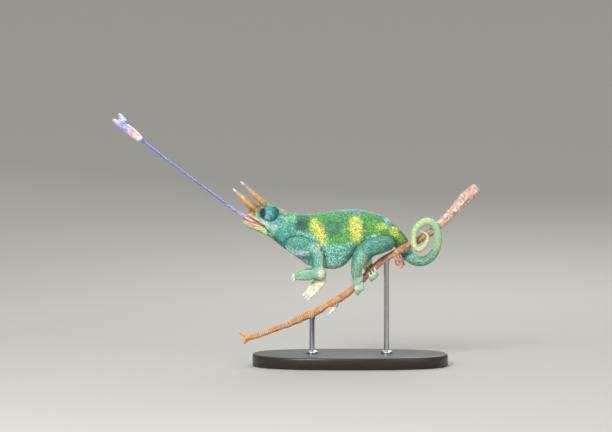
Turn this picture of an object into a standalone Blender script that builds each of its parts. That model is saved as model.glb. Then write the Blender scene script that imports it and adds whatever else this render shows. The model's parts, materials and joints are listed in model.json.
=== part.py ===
"""A life-size museum model of a male Jackson's chameleon that shoots out its tongue from a perch.

The head points to -X, the left side faces -Y, and the origin is the middle of the stand's
underside. Sizes are in millimetres, and MM turns them to metres. Every solid is a loft of rings,
fused with its crests, toes or claws, and cut about 0.3 mm clear of the solid that it grows from.
"""

import math
from collections import namedtuple

import bmesh
import bpy
import numpy as np

MM = 0.001
GAP = 0.3
JOINT_CUT = 0.1
SIDE = np.array([0.0, 1.0, 0.0])
LEFT, RIGHT = -1.0, 1.0

# The head's own frame: its middle, its pitch above the horizon, and what follows from the pitch.
HEAD_MIDDLE = np.array([-63.1, 0.0, 111.7])
HEAD_PITCH = math.radians(30.0)
FORWARD = np.array([-math.cos(HEAD_PITCH), 0.0, math.sin(HEAD_PITCH)])
CROWNWARD = np.array([math.sin(HEAD_PITCH), 0.0, math.cos(HEAD_PITCH)])
HEAD_BACK = -10.2
JAW_HINGE = -5.2

# The eye turret: its middle (ahead, outward, up in the head's frame), radius and gaze.
TURRET = np.array([1.0, 4.9, 5.0])
TURRET_RADIUS = 6.8
TURRET_ROOT = 3.2
LID_CONE = 0.9
GAZE = np.array([0.78, 0.50, -0.37])
LID_OPENING = 2.2

BRANCH_SIDES = 9
STAND_LENGTH, STAND_DEPTH, STAND_HEIGHT = 150.0, 86.0, 9.0
STAND_EDGE = 1.5
ROD_RADIUS = 2.0
ROD_PLACES = {"stand_rod_front": -29.3, "stand_rod_rear": 28.0}

# Trunk sections from the nape to the root of the tail. Each has the top point (x, z), the bottom
# point (x, z), the half width, how far the section sits to the right, and the ridge's pinch.
TRUNK = (
    (-43.9, 116.7, -53.1, 91.6, 7.6, 0.0, 0.20),
    (-38.5, 115.3, -43.9, 85.2, 9.0, 0.0, 0.28),
    (-31.6, 115.5, -33.9, 77.4, 10.6, 0.0, 0.32),
    (-21.6, 116.7, -21.8, 74.4, 12.2, 0.0, 0.36),
    (-10.8, 118.5, -11.6, 73.9, 13.2, 0.0, 0.38),
    (-2.3, 119.3, -4.4, 76.4, 13.2, 0.2, 0.38),
    (4.2, 119.4, 1.4, 82.6, 12.4, 0.5, 0.38),
    (10.8, 118.6, 7.7, 86.9, 11.4, 0.8, 0.36),
    (18.5, 117.0, 15.4, 88.1, 10.3, 1.3, 0.34),
    (26.2, 114.2, 22.3, 88.9, 9.1, 2.0, 0.30),
    (33.0, 109.9, 28.6, 89.9, 7.9, 3.0, 0.24),
    (38.3, 104.5, 33.4, 91.6, 6.6, 4.2, 0.12),
)
TRUNK_SIDES = 22
NECK_ROW = 2

# The tail's middle line (x, y, z) and its radius, from the pelvis round behind the perch, under
# it, and into the flat spiral in front of it.
TAIL = (
    (36.0, 4.2, 98.0, 6.6),
    (39.0, 8.6, 95.2, 6.2),
    (41.6, 11.4, 91.4, 5.7),
    (43.8, 11.6, 87.0, 5.2),
    (46.8, 9.0, 82.8, 4.8),
    (51.8, 5.0, 80.2, 4.4),
    (57.6, 0.8, 80.2, 3.9),
    (63.0, -3.8, 84.2, 3.5),
    (66.2, -7.0, 90.6, 3.3),
    (67.0, -8.8, 97.6, 3.2),
    (66.4, -9.2, 103.8, 3.2),
    (63.8, -9.2, 108.6, 3.2),
    (59.0, -9.2, 110.6, 3.2),
    (53.6, -9.2, 108.8, 3.0),
    (49.6, -9.3, 104.0, 2.7),
    (48.2, -9.4, 98.4, 2.5),
    (48.6, -9.7, 92.6, 2.4),
    (51.8, -9.9, 88.8, 2.3),
    (55.9, -10.0, 91.2, 2.1),
    (58.4, -10.0, 95.2, 1.8),
    (59.4, -10.0, 98.2, 1.5),
    (59.2, -10.0, 100.0, 1.3),
    (56.8, -10.0, 101.7, 1.0),
    (53.9, -10.0, 103.1, 0.55),
)
TAIL_SIDES = 11
TAIL_CUTS = (0.0, 0.2, 0.4, 0.58, 0.77, 1.0)

# The perch's middle line (x, y, z) and its radius, from its natural tip to its sawn end.
BRANCH = (
    (-80.4, -3.0, 20.4, 2.0),
    (-77.6, -3.0, 21.2, 2.5),
    (-73.2, -3.0, 22.2, 2.1),
    (-67.5, -3.0, 24.0, 2.0),
    (-60.4, -2.8, 26.7, 2.1),
    (-54.0, -2.6, 29.2, 2.2),
    (-46.9, -2.4, 31.7, 2.4),
    (-41.2, -2.2, 34.4, 2.7),
    (-34.3, -2.0, 37.4, 3.0),
    (-24.8, -1.8, 41.7, 3.1),
    (-17.2, -1.5, 46.3, 2.3),
    (-10.2, -1.3, 49.8, 3.4),
    (-4.5, -1.1, 53.6, 2.9),
    (1.2, -1.0, 57.7, 2.7),
    (6.4, -1.0, 62.6, 2.8),
    (17.4, -1.2, 74.0, 2.9),
    (25.7, -1.6, 81.1, 2.9),
    (37.9, -2.0, 88.1, 2.8),
    (45.9, -1.8, 92.6, 2.9),
    (58.6, -1.2, 99.8, 3.2),
    (69.6, -0.6, 108.2, 3.6),
    (79.3, 0.0, 118.2, 4.0),
    (85.6, 0.0, 125.2, 4.6),
    (89.2, 0.0, 128.8, 5.2),
    (92.4, 0.0, 131.6, 4.5),
    (98.0, 0.0, 136.8, 4.4),
)

# Limbs as (x, distance out to the side, z, half depth, half thickness). The hind ones stand out
# from the pelvis, which sits a little to the right.
ARM = (
    (-45.6, 4.4, 95.2, 6.8, 4.6),
    (-38.4, 9.6, 91.6, 7.8, 5.8),
    (-31.0, 14.4, 90.2, 6.2, 5.4),
    (-26.4, 16.6, 88.0, 5.2, 5.1),
    (-25.4, 16.4, 82.4, 4.8, 4.6),
    (-25.2, 15.8, 76.2, 4.6, 4.4),
)
ELBOW = 0.58
LEG_LEFT = (
    (29.6, 3.4, 94.0, 6.0, 5.0),
    (24.0, 9.2, 92.8, 6.6, 6.0),
    (16.4, 13.6, 90.6, 6.8, 6.3),
    (9.2, 15.2, 86.8, 6.2, 6.0),
    (5.6, 14.2, 80.0, 5.3, 5.2),
    (4.6, 11.2, 74.2, 4.5, 4.5),
    (4.6, 8.4, 70.2, 4.3, 4.3),
)
LEG_RIGHT = (
    (29.6, 4.6, 94.0, 6.0, 5.0),
    (25.6, 12.6, 92.8, 6.6, 6.0),
    (19.6, 18.2, 90.6, 6.8, 6.3),
    (14.6, 20.0, 87.0, 6.2, 6.0),
    (12.8, 18.8, 81.4, 5.0, 5.0),
    (13.6, 15.2, 77.0, 4.4, 4.4),
    (15.2, 11.4, 74.2, 4.2, 4.2),
)
KNEE = 0.56
PELVIS_MIDDLE = 3.0

# Toe bundles of the raised hands: the middle line (x, distance out, z), the toes' radius and how
# far the outermost toes lie from that line, at the bundle's widest and at its tip.
HAND_PALM = (-24.2, 15.4, 70.8)
HAND_OUTER = ((-26.0, 17.4, 70.4), (-32.0, 18.8, 69.9), (-37.4, 19.2, 69.2), (-41.2, 19.2, 68.3))
HAND_INNER = ((-21.2, 12.4, 71.6), (-22.8, 11.6, 66.2), (-27.2, 11.2, 60.0), (-32.2, 11.4, 54.4))
HAND_TOE_RADIUS = {"outer": 2.4, "inner": 2.0}
HAND_SPREAD = {"outer": 2.4, "inner": 3.2}
HAND_TIP_SPREAD = {"outer": 1.1, "inner": 2.3}
CLAW_LENGTH, CLAW_RADIUS = 2.7, 0.7

# Feet that grip the perch: where along X, the palm's angle round the perch, and the angles where
# each bundle's toes start and end. The angle is 0 at the upper left and 90 on the near side.
FEET = {
    "left": {"x": 6.4, "palm": 56.0, "skew": 0.62, "outer": (66.0, 158.0), "inner": (20.0, -104.0)},
    "right": {"x": 16.4, "palm": -90.0, "skew": 0.45, "outer": (-106.0, -240.0), "inner": (-72.0, 18.0)},
}
FOOT_TOE_RADIUS = 1.75
FOOT_SPREAD = {"outer": 2.9, "inner": 1.75}
TOES = {"outer": 3, "inner": 2}
TOE_STEPS, TOE_SIDES, MITT_SIDES = 6, 6, 8
TOE_LIFT = FOOT_TOE_RADIUS + 0.75
PALM_HEIGHT = 3.6
PALM_SIZE = np.array([5.4, 4.9, 4.1])
ANKLE_RADIUS = 4.2

# Horns: root and tip in the head's frame (ahead, outward, up), with root and half-way radii.
SNOUT_HORN = ((13.2, 0.0, 2.5), (35.6, 0.0, 7.4), 3.5, 2.5)
BROW_HORN = ((6.6, 4.3, 8.9), (33.0, 5.6, 15.2), 2.7, 1.8)
HORN_BOSS = 3.4
HORN_RINGS = 9

# The tongue in the head's frame: ahead, up, half height and half width.
TONGUE_ROOT = (
    (0.5, -6.6, 0.7, 1.8),
    (4.0, -6.7, 1.3, 3.1),
    (8.0, -6.7, 2.0, 3.6),
    (11.5, -6.9, 2.1, 3.2),
    (15.0, -7.0, 1.8, 2.2),
    (20.0, -6.9, 1.6, 1.7),
    (25.4, -6.6, 1.3, 1.3),
)
TONGUE_STALK = (
    (-88.76, 0.0, 118.97, 1.25),
    (-102.2, 0.0, 129.0, 1.05),
    (-120.2, 0.0, 142.2, 0.95),
    (-138.7, 0.0, 156.1, 0.95),
    (-158.6, 0.0, 171.6, 1.05),
)
TONGUE_CLUB_RADII = (1.1, 2.3, 2.9, 3.3, 3.5, 3.4, 3.1, 3.2)
TONGUE_CLUB_LENGTH = 24.0
TONGUE_LOBES = (((-174.2, 0.0, 186.8), (-177.6, 0.0, 192.6)), ((-176.0, 0.0, 184.6), (-182.0, 0.0, 188.4)))

# The back crest: one low cone for each step from the nape to the root of the tail.
CREST_STEP, CREST_HEIGHT, CREST_RADIUS = 2.5, 1.1, 0.9
CREST_SUNK = 0.9
CREST_CLEAR = 1.9

COLOURS = {
    "skin_teal": (0.10, 0.48, 0.42, 0.55, 0.0),
    "skin_green": (0.16, 0.46, 0.12, 0.55, 0.0),
    "skin_pale": (0.50, 0.66, 0.34, 0.55, 0.0),
    "sole": (0.74, 0.72, 0.56, 0.6, 0.0),
    "horn": (0.62, 0.44, 0.24, 0.4, 0.0),
    "tongue": (0.55, 0.32, 0.38, 0.25, 0.0),
    "tongue_stalk": (0.30, 0.32, 0.58, 0.25, 0.0),
    "eye": (0.02, 0.02, 0.02, 0.1, 0.0),
    "bark": (0.42, 0.22, 0.13, 0.8, 0.0),
    "stand": (0.05, 0.05, 0.05, 0.45, 0.0),
    "rod": (0.55, 0.55, 0.56, 0.3, 1.0),
}

Station = namedtuple("Station", "centre side up width top bottom pinch power")


def unit(vector):
    """The vector at length one."""
    return np.asarray(vector, float) / np.linalg.norm(vector)


def smooth(rows, count):
    """Rows read at even steps from a smooth curve through the given rows."""
    rows = np.asarray(rows, float)
    padded = np.vstack([2 * rows[0] - rows[1], rows, 2 * rows[-1] - rows[-2]])
    made = []
    for place in np.linspace(0, len(rows) - 1, count):
        k = min(int(place), len(rows) - 2)
        t = place - k
        a, b, c, d = padded[k : k + 4]
        made.append(
            0.5 * (2 * b + (c - a) * t + (2 * a - 5 * b + 4 * c - d) * t**2 + (3 * b - a - 3 * c + d) * t**3)
        )
    return np.array(made)


def even_steps(rows, count):
    """A smooth curve's rows at even distances along it, which reads x, y, z from each row's start."""
    fine = smooth(rows, 12 * len(rows))
    steps = np.linalg.norm(np.diff(fine[:, :3], axis=0), axis=1)
    along = np.concatenate([[0], np.cumsum(steps)])
    wanted = np.linspace(0, along[-1], count)
    return np.column_stack([np.interp(wanted, along, fine[:, k]) for k in range(fine.shape[1])])


def stations(rows, hint):
    """Sections square to a path. Each row has x, y, z and one radius, or a half depth and half width."""
    rows = np.asarray(rows, float)
    tangents = np.gradient(rows[:, :3], axis=0)
    up = np.asarray(hint, float)
    made = []
    for row, tangent in zip(rows, tangents):
        tangent = unit(tangent)
        up = unit(up - (up @ tangent) * tangent)
        made.append(Station(row[:3], np.cross(tangent, up), up, row[-1], row[3], row[3], 0.0, 2.0))
    return made


def ring(station, sides, grow=0.0):
    """One closed ring of points round a section."""
    turn = np.arange(sides) * 2 * math.pi / sides
    high, out = np.cos(turn), np.sin(turn)
    blunt = 2 / station.power
    high, out = np.sign(high) * abs(high) ** blunt, np.sign(out) * abs(out) ** blunt
    reach = np.where(high > 0, station.top, station.bottom) + grow
    width = (station.width + grow) * (1 - station.pinch * np.clip(high, 0, 1) ** 2)
    return station.centre + np.outer(high * reach, station.up) + np.outer(out * width, station.side)


def loft(rings):
    """A closed solid through rings of equal length, as points and faces."""
    sides = len(rings[0])
    points = np.concatenate([*rings, [rings[0].mean(0), rings[-1].mean(0)]])
    faces = []
    for k in range(len(rings) - 1):
        for i in range(sides):
            j = (i + 1) % sides
            faces.append((k * sides + i, k * sides + j, (k + 1) * sides + j, (k + 1) * sides + i))
    last = (len(rings) - 1) * sides
    for i in range(sides):
        j = (i + 1) % sides
        faces.append((len(points) - 2, j, i))
        faces.append((len(points) - 1, last + i, last + j))
    return points, faces


def section_loft(sections, sides, grow=0.0):
    """A solid through sections."""
    return loft([ring(s, sides, grow) for s in sections])


def domed(sections, at_start, at_end):
    """Sections with a rounded end of two small steps added past the first or last."""
    sections = list(sections)

    def steps(end, before):
        away = unit(end.centre - before.centre) * min(end.width, end.top)
        made = []
        for out, size in ((0.5, 0.85), (0.85, 0.45)):
            made.append(
                end._replace(
                    centre=end.centre + away * out,
                    width=end.width * size,
                    top=end.top * size,
                    bottom=end.bottom * size,
                )
            )
        return made

    if at_start:
        sections = steps(sections[0], sections[1])[::-1] + sections
    if at_end:
        sections = sections + steps(sections[-1], sections[-2])
    return sections


def tube(rows, count, sides, hint, at_start=False, at_end=False, grow=0.0):
    """A closed tube along a smooth path, with rounded ends where asked."""
    return section_loft(domed(stations(even_steps(rows, count), hint), at_start, at_end), sides, grow=grow)


def turned(profile, origin, axis, hint, sides):
    """A solid of revolution from (along the axis, radius) pairs."""
    axis = unit(axis)
    up = unit(np.asarray(hint, float) - (np.asarray(hint) @ axis) * axis)
    side = np.cross(axis, up)
    rings = [
        ring(Station(np.asarray(origin) + axis * along, side, up, radius, radius, radius, 0.0, 2.0), sides)
        for along, radius in profile
    ]
    return loft(rings)


def ball(centre, radii, axes, rings=7, sides=12):
    """An ellipsoid with its three radii along three axes."""
    made = []
    for turn in np.linspace(0.12, math.pi - 0.12, rings):
        middle = np.asarray(centre) + axes[0] * radii[0] * math.cos(turn)
        size = math.sin(turn)
        made.append(
            ring(
                Station(middle, axes[1], axes[2], radii[1] * size, radii[2] * size, radii[2] * size, 0, 2),
                sides,
            )
        )
    return loft(made)


def box(low, high, to_world):
    """A block between two corners, given in a frame that to_world places."""
    corners = [(x, y, z) for x in (low[0], high[0]) for y in (low[1], high[1]) for z in (low[2], high[2])]
    faces = [(0, 1, 3, 2), (4, 6, 7, 5), (0, 4, 5, 1), (2, 3, 7, 6), (0, 2, 6, 4), (1, 5, 7, 3)]
    return np.array([to_world(*c) for c in corners]), faces


def mesh_object(name, piece):
    """A mesh object in metres, with its faces pointing out."""
    points, faces = piece
    mesh = bpy.data.meshes.new(name)
    mesh.from_pydata([tuple(p) for p in np.asarray(points) * MM], [], faces)
    made = bmesh.new()
    made.from_mesh(mesh)
    bmesh.ops.recalc_face_normals(made, faces=made.faces)
    made.to_mesh(mesh)
    made.free()
    return bpy.data.objects.new(name, mesh)


def material(name):
    """The named finish as a Principled material, made once."""
    found = bpy.data.materials.get(name)
    if found:
        return found
    made = bpy.data.materials.new(name)
    made.use_nodes = True
    shader = made.node_tree.nodes["Principled BSDF"]
    red, green, blue, roughness, metallic = COLOURS[name]
    shader.inputs["Base Color"].default_value = (red, green, blue, 1.0)
    shader.inputs["Roughness"].default_value = roughness
    shader.inputs["Metallic"].default_value = metallic
    return made


def keep_largest(mesh):
    """Leaves only the mesh's largest closed surface."""
    made = bmesh.new()
    made.from_mesh(mesh)
    bmesh.ops.remove_doubles(made, verts=made.verts, dist=1e-7)
    left = set(made.faces)
    shells = []
    while left:
        shell, front = set(), [left.pop()]
        while front:
            face = front.pop()
            shell.add(face)
            for edge in face.edges:
                for other in edge.link_faces:
                    if other in left:
                        left.remove(other)
                        front.append(other)
        shells.append(shell)
    shells.sort(key=lambda shell: sum(face.calc_area() for face in shell), reverse=True)
    for shell in shells[1:]:
        bmesh.ops.delete(made, geom=list(shell), context="FACES")
    made.to_mesh(mesh)
    made.free()


def boolean(target, operation, pieces, solver):
    """Joins closed pieces to the target, or cuts them from it, in one applied Boolean."""
    helpers = bpy.data.collections.new("helpers")
    bpy.context.scene.collection.children.link(helpers)
    for piece in pieces:
        helpers.objects.link(mesh_object("helper", piece))
    modifier = target.modifiers.new(operation.lower(), "BOOLEAN")
    modifier.operation = operation
    modifier.operand_type = "COLLECTION"
    modifier.collection = helpers
    modifier.solver = solver
    graph = bpy.context.evaluated_depsgraph_get()
    made = bpy.data.meshes.new_from_object(target.evaluated_get(graph))
    target.modifiers.clear()
    target.data = made
    for helper in list(helpers.objects):
        bpy.data.objects.remove(helper)
    bpy.data.collections.remove(helpers)


def node(name, finish, pieces, cutters=(), solver="EXACT"):
    """One named solid: its pieces fused, then cut clear of its neighbours."""
    made = mesh_object(name, pieces[0])
    bpy.context.scene.collection.objects.link(made)
    if len(pieces) > 1:
        boolean(made, "UNION", pieces[1:], solver)
    if cutters:
        boolean(made, "DIFFERENCE", cutters, solver)
    keep_largest(made.data)
    made.data.materials.clear()
    made.data.materials.append(material(finish))
    made.data.shade_smooth()
    made.data.set_sharp_from_angle(angle=math.radians(40))
    return made


def in_head(ahead, out, up, side=LEFT):
    """A point of the head's frame, in the model's frame. Out is towards the named side."""
    return HEAD_MIDDLE + ahead * FORWARD + out * side * SIDE + up * CROWNWARD


def head_direction(ahead, out, up, side=LEFT):
    """A direction of the head's frame, in the model's frame."""
    return unit(ahead * FORWARD + out * side * SIDE + up * CROWNWARD)


def clear_start(sections):
    """The sections with the first set half the gap in, along its own normal."""
    first = sections[0]
    normal = unit(np.cross(first.side, first.up))
    if normal @ (sections[1].centre - first.centre) < 0:
        normal = -normal
    return [first._replace(centre=first.centre + normal * GAP / 2), *sections[1:]]


def clear_end(sections):
    """The sections with the last set half the gap in, along its own normal."""
    return clear_start(list(sections)[::-1])[::-1]


def head_sections():
    """The skull's sections: how far ahead, top, bottom, and half width."""
    rows = (
        (HEAD_BACK, 12.2, -10.9, 7.6),
        (-7.0, 11.6, -11.0, 8.2),
        (-3.0, 10.8, -11.0, 8.4),
        (1.0, 10.1, -11.0, 8.2),
        (4.5, 9.4, -10.6, 7.4),
        (8.0, 8.2, -9.8, 6.2),
        (11.0, 6.4, -9.0, 5.2),
        (13.6, 4.4, -7.6, 4.2),
        (15.4, 2.4, -5.8, 3.0),
        (16.6, 0.6, -3.0, 1.4),
    )
    made = []
    for ahead, top, bottom, width in smooth(rows, 14):
        middle = (top + bottom) / 2
        half = (top - bottom) / 2
        made.append(Station(in_head(ahead, 0, middle), SIDE, CROWNWARD, width, half, half, 0.0, 2.7))
    return made


def trunk_sections():
    """Sections of the neck and trunk, from the back of the head to the tail's root."""
    back = head_sections()[0]
    nape, throat = back.centre + back.up * back.top, back.centre - back.up * back.bottom
    first = (nape[0], nape[2], throat[0], throat[2], back.width, 0.0, 0.0)
    rows = np.vstack([first, TRUNK])
    made = []
    for row in smooth(rows, 2 * len(rows) - 1):
        top, bottom = np.array([row[0], row[5], row[1]]), np.array([row[2], row[5], row[3]])
        half = np.linalg.norm(top - bottom) / 2
        share = min(1.0, len(made) / 4)
        power = 2.7 + (2.15 - 2.7) * share
        made.append(Station((top + bottom) / 2, SIDE, unit(top - bottom), row[4], half, half, row[6], power))
    return made


def crest(sections, step, height):
    """Low cones along the top line of the sections, leaning back a little."""
    tops = np.array([s.centre + s.up * s.top for s in sections])
    ups = np.array([s.up for s in sections])
    along = np.concatenate([[0], np.cumsum(np.linalg.norm(np.diff(tops, axis=0), axis=1))])
    made = []
    for number, place in enumerate(np.arange(CREST_CLEAR, along[-1] - CREST_CLEAR, step)):
        top = np.array([np.interp(place, along, tops[:, k]) for k in range(3)])
        up = unit([np.interp(place, along, ups[:, k]) for k in range(3)])
        heading = unit(tops[-1] - tops[0])
        rise = height(place / along[-1]) * (1.0 + 0.18 * math.sin(2.4 * number))
        lean = unit(up + 0.35 * heading)
        profile = ((-CREST_SUNK, CREST_RADIUS * 1.3), (rise, 0.16))
        made.append(turned(profile, top, lean, SIDE, 4))
    return made


def trunk_grown():
    """The trunk a gap larger all round, which cuts the limbs clear of it."""
    return section_loft(trunk_sections()[1:], TRUNK_SIDES, grow=GAP)


def other_half(middle, side):
    """All that lies past the body's middle plane, as seen from a limb on the named side."""
    near = middle + side * GAP / 2
    far = near - side * 60.0
    return box((-80.0, min(near, far), 0.0), (60.0, max(near, far), 200.0), lambda x, y, z: (x, y, z))


def turret_ball(side, grow):
    """The part of the eye turret's ball that stands outside the root plane."""
    radius, root = TURRET_RADIUS + grow, TURRET_ROOT - grow
    steps = np.linspace(math.acos((root - TURRET[1]) / radius), 0.16, 7)
    profile = [(radius * math.cos(turn), radius * math.sin(turn)) for turn in steps]
    return turned(profile, in_head(*TURRET, side), side * SIDE, CROWNWARD, 16)


def lid_clearance(side):
    """The room in the skull that the lids' cone needs, along the gaze."""
    profile = ((4.5, 5.4), (5.4, 5.3), (6.6, 4.3), (7.6, 3.2), (8.8, 3.0))
    return turned(profile, in_head(*TURRET, side), head_direction(*GAZE, side), CROWNWARD, 12)


def horn_rows(horn, start, end, side):
    """Points along a horn's gentle upward curve, with a radius that tapers to the tip."""
    root, tip, wide, middle = horn
    rows = []
    for place in np.linspace(start, end, HORN_RINGS):
        point = np.array(root) + place * (np.array(tip) - np.array(root))
        point[2] -= 1.6 * place * (1 - place)
        radius = np.interp(place, (0, 0.5, 0.93, 1), (wide, middle, 0.7, 0.3))
        ripple = 0.05 * radius * math.cos(place * 60) * (1 - place)
        rows.append((*in_head(*point, side), radius + ripple))
    return rows


def boss_share(horn):
    """The share of a horn's length that its scaly boss on the head takes up."""
    return HORN_BOSS / np.linalg.norm(np.array(horn[1]) - np.array(horn[0]))


def horn_boss(horn, side):
    """The scaly ring that a horn stands on, with a flat face for the horn's root."""
    root, tip, wide, _ = horn
    axis = head_direction(*(np.array(tip) - np.array(root)), side)
    profile = (
        (-1.5, wide + 0.2),
        (HORN_BOSS * 0.45, wide + 0.75),
        (HORN_BOSS * 0.8, wide + 0.6),
        (HORN_BOSS, wide),
    )
    return turned(profile, in_head(*root, side), axis, SIDE, 10)


def horn_node(name, horn, side):
    """A horn from its boss to its tip, a gap clear of the boss."""
    length = np.linalg.norm(np.array(horn[1]) - np.array(horn[0]))
    rows = horn_rows(horn, boss_share(horn) + GAP / length, 1.0, side)
    return node(name, "horn", [section_loft(stations(rows, SIDE), 9)])


def upper_lip(ahead):
    """Height of the upper jaw's edge in the head's frame."""
    return float(np.interp(ahead, (JAW_HINGE, -0.3, 5.0, 13.4, 20.0), (-7.4, -5.2, -4.9, -4.5, -4.3)))


def lower_lip(ahead):
    """Height of the lower jaw's edge, which drops away from the upper one towards the front."""
    return float(np.interp(ahead, (JAW_HINGE, -0.3, 4.9, 10.0, 16.0), (-7.8, -5.7, -6.8, -7.8, -9.3)))


def mouth_wedge():
    """Everything below the upper jaw's edge and ahead of the hinge, to cut from the skull."""
    aheads = (JAW_HINGE - 0.35, -2.6, -0.3, 5.0, 13.4, 22.0)
    outline = [(a, upper_lip(max(a, JAW_HINGE))) for a in aheads] + [(22.0, -20.0), (aheads[0], -20.0)]
    rings = [np.array([in_head(a, out, b) for a, b in outline]) for out in (-16.0, 16.0)]
    return loft(rings)


def jaw_sections():
    """The lower jaw's sections: how far ahead, bottom and half width."""
    rows = (
        (JAW_HINGE, -11.0, 8.2),
        (-0.3, -11.5, 7.9),
        (4.9, -12.2, 6.7),
        (9.5, -12.7, 5.2),
        (13.2, -12.7, 3.9),
        (15.6, -12.1, 2.5),
        (16.8, -11.0, 1.0),
    )
    made = []
    for ahead, bottom, width in smooth(rows, 11):
        top = lower_lip(ahead)
        half = (top - bottom) / 2
        middle = (top + bottom) / 2
        made.append(Station(in_head(ahead, 0, middle), SIDE, CROWNWARD, width, half, half, 0.0, 3.0))
    return made


def tongue_root(grow=0.0):
    """The thick fleshy root that fills the mouth and runs out over the lower jaw."""
    rows = []
    for ahead, up, half_height, half_width in TONGUE_ROOT:
        back = 2 * grow if ahead == TONGUE_ROOT[0][0] else 0.0
        rows.append((*in_head(ahead - back, 0, up), half_height, half_width))
    sections = stations(even_steps(rows, 12), CROWNWARD)
    return section_loft(domed(sections, True, False), 11, grow=grow)


def orbit_ridge(side):
    """The rim that runs under, before and over the eye and back along the casque's edge."""
    points = (
        (3.6, 7.2, -3.8, 0.7),
        (7.0, 6.2, -2.2, 0.9),
        (9.2, 5.6, 1.0, 1.0),
        (9.6, 5.2, 4.6, 1.1),
        (8.2, 5.2, 8.4, 1.2),
        (4.4, 5.6, 10.2, 1.2),
        (-0.4, 5.6, 11.0, 1.2),
        (-5.0, 4.8, 11.6, 1.2),
        (-9.2, 3.0, 12.2, 1.0),
    )
    rows = [(*in_head(*p[:3], side), p[3]) for p in points]
    return tube(rows, 11, 5, side * SIDE, True, True)


def head_node():
    """The skull with the upper jaw, casque, horn bosses, rims, lips and nostrils."""
    sections = clear_start(head_sections())
    pieces = [section_loft(sections, 20)]
    crown = [(*in_head(a, 0, b), 0.9) for a, b in ((3.0, 9.6), (-2.0, 10.8), (-6.0, 11.8), (-9.0, 12.4))]
    pieces.append(tube(crown, 6, 5, CROWNWARD, True, True))
    pieces.append(horn_boss(SNOUT_HORN, LEFT))
    cutters = [mouth_wedge(), tongue_root(GAP)]
    for side in (LEFT, RIGHT):
        pieces.append(orbit_ridge(side))
        pieces.append(horn_boss(BROW_HORN, side))
        lip = [
            (*in_head(a, out, upper_lip(a) + 0.75, side), 0.7)
            for a, out in ((14.6, 2.6), (11.0, 4.7), (6.0, 6.4), (1.0, 7.6), (-3.6, 7.9))
        ]
        pieces.append(tube(lip, 7, 5, CROWNWARD, True, True))
        cutters += [turret_ball(side, GAP), lid_clearance(side)]
        nostril = in_head(12.9, 4.6, 0.0, side)
        cutters.append(ball(nostril, (0.75, 0.9, 0.6), (FORWARD, SIDE, CROWNWARD), 5, 8))
    return node("head", "skin_teal", pieces, cutters)


def jaw_node():
    """The lower jaw, hollowed for the tongue's root, with its lip."""
    pieces = [section_loft(clear_start(jaw_sections()), 16)]
    for side in (LEFT, RIGHT):
        lip = [
            (*in_head(a, out, lower_lip(a) - 0.8, side), 0.7)
            for a, out in ((14.8, 2.4), (11.5, 4.2), (7.0, 5.9), (2.0, 7.2), (-3.2, 7.8))
        ]
        pieces.append(tube(lip, 7, 5, CROWNWARD, True, True))
    return node("lower_jaw", "skin_pale", pieces, [tongue_root(GAP), mouth_ceiling()])


def mouth_ceiling():
    """The upper jaw's block a gap larger, which keeps the lower lip clear of it."""
    aheads = (-12.0, JAW_HINGE, -2.6, -0.3, 5.0, 13.4, 22.0)
    outline = [(a, upper_lip(max(a, JAW_HINGE)) - GAP) for a in aheads] + [(22.0, 10.0), (-12.0, 10.0)]
    rings = [np.array([in_head(a, out, b) for a, b in outline]) for out in (-16.0, 16.0)]
    return loft(rings)


def turret_node(name, side):
    """The cone of fused lids, with its small opening towards the gaze."""
    axis = head_direction(*GAZE, side)
    profile = []
    for turn in np.linspace(math.radians(170), math.radians(18), 12):
        radius = TURRET_RADIUS + LID_CONE * math.exp(-((turn / 0.55) ** 2))
        profile.append((radius * math.cos(turn), radius * math.sin(turn)))
    rim = TURRET_RADIUS + LID_CONE
    profile += [(rim - 0.3, LID_OPENING), (rim - 1.3, LID_OPENING - 0.1)]
    shell = turned(profile, in_head(*TURRET, side), axis, CROWNWARD, 16)
    root = box((-20, -20, -20), (20, TURRET_ROOT, 20), lambda a, o, u: in_head(a, o, u, side))
    return node(name, "skin_teal", [shell], [root])


def eye_node(name, side):
    """The part of the eyeball that shows in the lids' opening."""
    axis = head_direction(*GAZE, side)
    floor = TURRET_RADIUS + LID_CONE - 1.3 + GAP
    size = LID_OPENING - 0.1 - GAP
    shape = ((0.0, 1.0), (0.35, 0.96), (0.8, 0.7), (1.0, 0.3))
    profile = tuple((floor + rise, size * share) for rise, share in shape)
    return node(name, "eye", [turned(profile, in_head(*TURRET, side), axis, CROWNWARD, 12)])


def make_head():
    """The head's nodes, with the horns, eyes and tongue."""
    head_node()
    jaw_node()
    horn_node("horn_snout", SNOUT_HORN, LEFT)
    for word, side in (("left", LEFT), ("right", RIGHT)):
        horn_node(f"horn_brow_{word}", BROW_HORN, side)
        turret_node(f"eyelid_{word}", side)
        eye_node(f"eye_{word}", side)
    node("tongue_root", "tongue", [tongue_root()])
    stalk = clear_end(clear_start(stations(even_steps(TONGUE_STALK, 14), CROWNWARD)))
    node("tongue_stalk", "tongue_stalk", [section_loft(stalk, 9)])
    make_tongue_club()


def make_tongue_club():
    """The sticky club at the tongue's end, with an upper and a lower lobe round its cup."""
    start, before = np.array(TONGUE_STALK[-1][:3]), np.array(TONGUE_STALK[-2][:3])
    axis = unit(start - before)
    steps = np.linspace(GAP / 2, TONGUE_CLUB_LENGTH, len(TONGUE_CLUB_RADII))
    rows = np.column_stack([start + np.outer(steps, axis), TONGUE_CLUB_RADII])
    pieces = [section_loft(domed(stations(even_steps(rows, 11), SIDE), False, True), 12)]
    for inner, outer in TONGUE_LOBES:
        lobe = [(*inner, 2.6), (*(np.add(inner, outer) / 2), 2.2), (*outer, 1.3)]
        sections = stations(smooth(lobe, 5), SIDE)
        sections = [s._replace(top=s.top * 1.3, bottom=s.bottom * 1.3) for s in sections]
        pieces.append(section_loft(domed(sections, True, True), 8))
    node("tongue_club", "tongue", pieces)


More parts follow.
